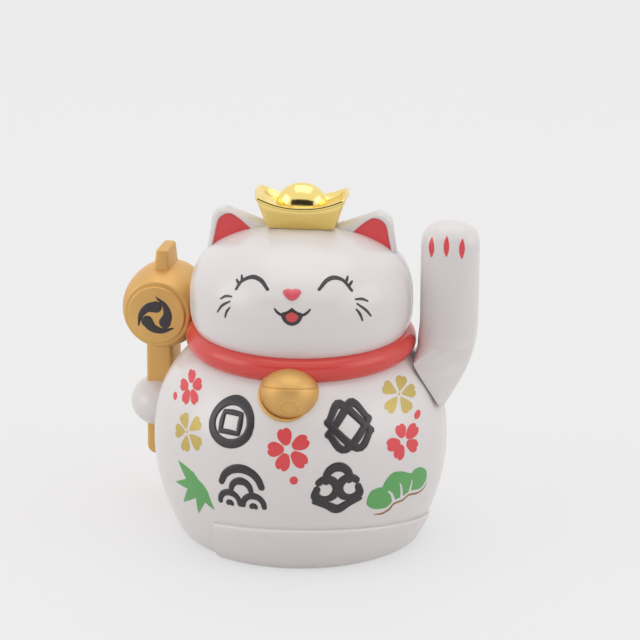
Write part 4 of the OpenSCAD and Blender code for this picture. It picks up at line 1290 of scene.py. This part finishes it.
def swept(tree, path, radius, facets):
    """A round wire that follows a curve."""
    section = add_node(tree, "GeometryNodeCurvePrimitiveCircle", Resolution=facets,
                       Radius=radius)
    sweep = add_node(tree, "GeometryNodeCurveToMesh", Curve=path,
                     Profile_Curve=section.outputs["Curve"], Fill_Caps=True)
    return sweep.outputs["Mesh"]


def repeated(tree, shape, count, step, axis):
    """Copies of a shape in a row along an axis."""
    offset = add_node(tree, "ShaderNodeCombineXYZ", **{axis: step})
    row = add_node(tree, "GeometryNodeMeshLine", Count=count, Offset=offset.outputs["Vector"])
    copies = add_node(tree, "GeometryNodeInstanceOnPoints", Points=row.outputs["Mesh"],
                      Instance=shape)
    return copies.outputs["Instances"]


def coil_turns(tree, given):
    ring = add_node(tree, "GeometryNodeCurvePrimitiveCircle", Resolution=72,
                    Radius=given["Coil Radius"])
    wire = swept(tree, ring.outputs["Curve"], given["Wire Radius"], 10)
    return repeated(tree, wire, given["Turns"], given["Pitch"], "Z")


points, faces = turned([(core_r, coil_low), (coil_outer, coil_low), (coil_outer, coil_high),
                        (core_r, coil_high)], 72)
coil_core = mesh_piece("coil_core", points + [drive_x, 0, 0], faces, copper)
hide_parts("coil_winding")
coil_wire = grown("coil_wire", coil_turns, copper,
                  place=(0.001 * drive_x, 0, 0.001 * (coil_low + wire_r)),
                  **{"Coil Radius": 0.001 * (coil_outer + 0.01), "Wire Radius": 0.001 * wire_r,
                     "Turns": coil_count, "Pitch": 0.001 * coil_turn})
for piece in (coil_core, coil_wire):
    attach(piece, "figure")

# ---- Solar window ----
# A black frame snaps into the back and holds a small cell, crossed by fine silver fingers,
# under a clear cover. Two red insulated leads run down from the cell to the board.
finger_w, finger_l, finger_t, finger_count, finger_pitch = 0.12, 9.8, 0.03, 13, 1.5
finger_sunk = 0.836
board_top, lead_r, lead_pitch = 5.8, 0.5, 1.6
lead_x, lead_z = 13 / 2 - 12 - 3 * lead_r - lead_pitch, cell_z - 2
finish_node("solar_frame", black_plastic)
finish_node("solar_cell", plastic("solar_cell", (0.02, 0.025, 0.07), 0.18, drift=0.4,
                                  ripple=0.2))
finish_node("solar_cover", plastic("clear_cover", (0.85, 0.87, 0.9), 0.05, drift=0.02,
                                   rough_drift=0.02, ripple=0.1, Transmission_Weight=1.0,
                                   IOR=1.49))


def cell_fingers(tree, given):
    size = add_node(tree, "ShaderNodeCombineXYZ", X=given["Width"], Y=given["Length"],
                    Z=given["Thickness"])
    finger = add_node(tree, "GeometryNodeMeshCube", Size=size.outputs["Vector"])
    return repeated(tree, finger.outputs["Mesh"], given["Count"], given["Pitch"], "X")


first_finger = (-finger_pitch * (finger_count - 1) / 2, window_up, -finger_sunk)
on_window = (Matrix.Rotation(cell_tilt, 4, "X") @ Matrix.Translation((0, 0.001 * cell_reach, 0))
             @ Matrix.Rotation(pi, 4, "Y") @ Matrix.Rotation(-pi / 2, 4, "X")
             @ Matrix.Translation([0.001 * d for d in first_finger]))
silver_paste = metal("silver_paste", (0.60, 0.60, 0.60), (0.45, 0.45, 0.44), 0.35)
fingers = grown("cell_fingers", cell_fingers, silver_paste, place=on_window.to_translation(),
                turn=on_window.to_euler(), Width=0.001 * finger_w, Length=0.001 * finger_l,
                Thickness=0.001 * finger_t, Count=finger_count, Pitch=0.001 * finger_pitch)
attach(fingers, "figure")

lead_y = (cell_reach - 0.8 - 0.8 - lead_r / 2 - lead_z * sin(cell_tilt)) / cos(cell_tilt)
lead_low, lead_front = board_top + 0.15, 21 / 4
lead_ends = {"Start": (lead_x, lead_y, lead_z),
             "Middle": (lead_x, lead_front, (lead_z + lead_low) / 2),
             "End": (lead_x, lead_front, lead_low)}


def lead_pair(tree, given):
    path = add_node(tree, "GeometryNodeCurveQuadraticBezier", Resolution=24,
                    **{key: [0.001 * d for d in point] for key, point in lead_ends.items()})
    wire = swept(tree, path.outputs["Curve"], given["Lead Radius"], 14)
    return repeated(tree, wire, given["Leads"], given["Pitch"], "X")


leads = grown("lead_wires", lead_pair, plastic("red_insulation", (0.5, 0.03, 0.03), 0.4),
              **{"Lead Radius": 0.001 * lead_r, "Leads": 2, "Pitch": 0.001 * lead_pitch})
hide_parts("solar_leads")
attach(leads, "figure")

# ---- Studio ----
# A plain pale floor in an even white surround, a broad soft light overhead and one on
# either side. A dark card ahead, that only reflections see, gives the gloss something to
# show.


def white_for_camera(tree, shader, white, output, share=1.0):
    """Shows the camera and reflections a share of plain white in place of a shader."""
    path = tree.nodes.new("ShaderNodeLightPath").outputs
    mirrored = maths(tree, "MAXIMUM", path["Is Glossy Ray"], path["Is Transmission Ray"])
    seen = maths(tree, "MAXIMUM", path["Is Camera Ray"], mirrored)
    mix = add_node(tree, "ShaderNodeMixShader", Fac=maths(tree, "MULTIPLY", seen, share))
    for socket, source in ((mix.inputs[1], shader), (mix.inputs[2], white),
                           (output.inputs["Surface"], mix)):
        fill(tree, socket, source.outputs[0])


def stage_plane(name, corners, material):
    mesh = bpy.data.meshes.new(name)
    mesh.from_pydata(corners, [], [(0, 1, 2, 3)])
    mesh.materials.append(material)
    return in_scene(name, mesh)


def stand(thing, place, right, above, back):
    """Puts a lamp or the camera at a place, looking away from its back."""
    turn = Matrix(np.stack([right, above, back], 1).tolist()).to_4x4()
    turn.translation = place
    thing.matrix_world = turn


floor_paint = bpy.data.materials.new("floor_paint")
floor_paint.use_nodes = True
tree = floor_paint.node_tree
shader = tree.nodes["Principled BSDF"]
shader.inputs["Base Color"].default_value = (0.68, 0.67, 0.67, 1)
shader.inputs["Roughness"].default_value = 0.6
glow = add_node(tree, "ShaderNodeEmission", Color=(1, 1, 1, 1), Strength=1.0)
white_for_camera(tree, shader, glow, tree.nodes["Material Output"], share=0.55)
stage_plane("floor", [(-3, -3, 0), (3, -3, 0), (3, 3, 0), (-3, 3, 0)], floor_paint)

world = bpy.data.worlds.new("studio")
bpy.context.scene.world = world
world.use_nodes = True
tree = world.node_tree
ambient = tree.nodes["Background"]
ambient.inputs["Color"].default_value = (1.0, 0.985, 0.98, 1)
ambient.inputs["Strength"].default_value = 0.68
backdrop = add_node(tree, "ShaderNodeBackground", Color=(1, 1, 1, 1), Strength=1.0)
white_for_camera(tree, ambient, backdrop, tree.nodes["World Output"])


def soft_light(name, place, aim, width, height, power):
    """A soft light of a given size, turned to face a point."""
    lamp = bpy.data.lights.new(name, "AREA")
    lamp.shape, lamp.size, lamp.size_y, lamp.energy = "RECTANGLE", width, height, power
    back = np.array(place) - aim
    back /= np.linalg.norm(back)
    side = np.cross([0, 1, 0.01], back)
    side /= np.linalg.norm(side)
    stand(in_scene(name, lamp), place, side, np.cross(back, side), back)


soft_light("light_top", (0.03, 0.12, 1.15), (0, 0, 0.05), 1.0, 1.1, 3.2)
soft_light("light_left", (-1.1, -0.35, 0.45), (0, 0, 0.04), 0.7, 0.8, 2.6)
soft_light("light_right", (1.1, -0.25, 0.45), (0, 0, 0.04), 0.7, 0.8, 2.0)

card = stage_plane("dark_card", [(-0.9, -1.15, 0.24), (1.0, -1.15, 0.24), (1.0, -1.0, 0.74),
                                 (-0.9, -1.0, 0.74)],
                   plastic("card_black", (0.02, 0.02, 0.02), 0.9))
card.visible_camera = card.visible_diffuse = card.visible_shadow = False

camera = in_scene("camera", bpy.data.cameras.new("camera"))
bpy.context.scene.camera = camera
camera.data.sensor_width, camera.data.lens = 36.0, 195.0
camera.data.clip_start, camera.data.clip_end = 0.05, 20
azimuth, elevation, roll = radians(5.3), radians(18.52), radians(0.41)
ahead = np.array([-sin(azimuth) * cos(elevation), cos(azimuth) * cos(elevation), -sin(elevation)])
right = np.array([cos(azimuth), sin(azimuth), 0])
above = np.cross(right, ahead)
right, above = (cos(roll) * right + sin(roll) * above, cos(roll) * above - sin(roll) * right)
stand(camera, (0.07577, -0.76940, 0.31043), right, above, -ahead)
bpy.context.scene.view_settings.view_transform = "Standard"
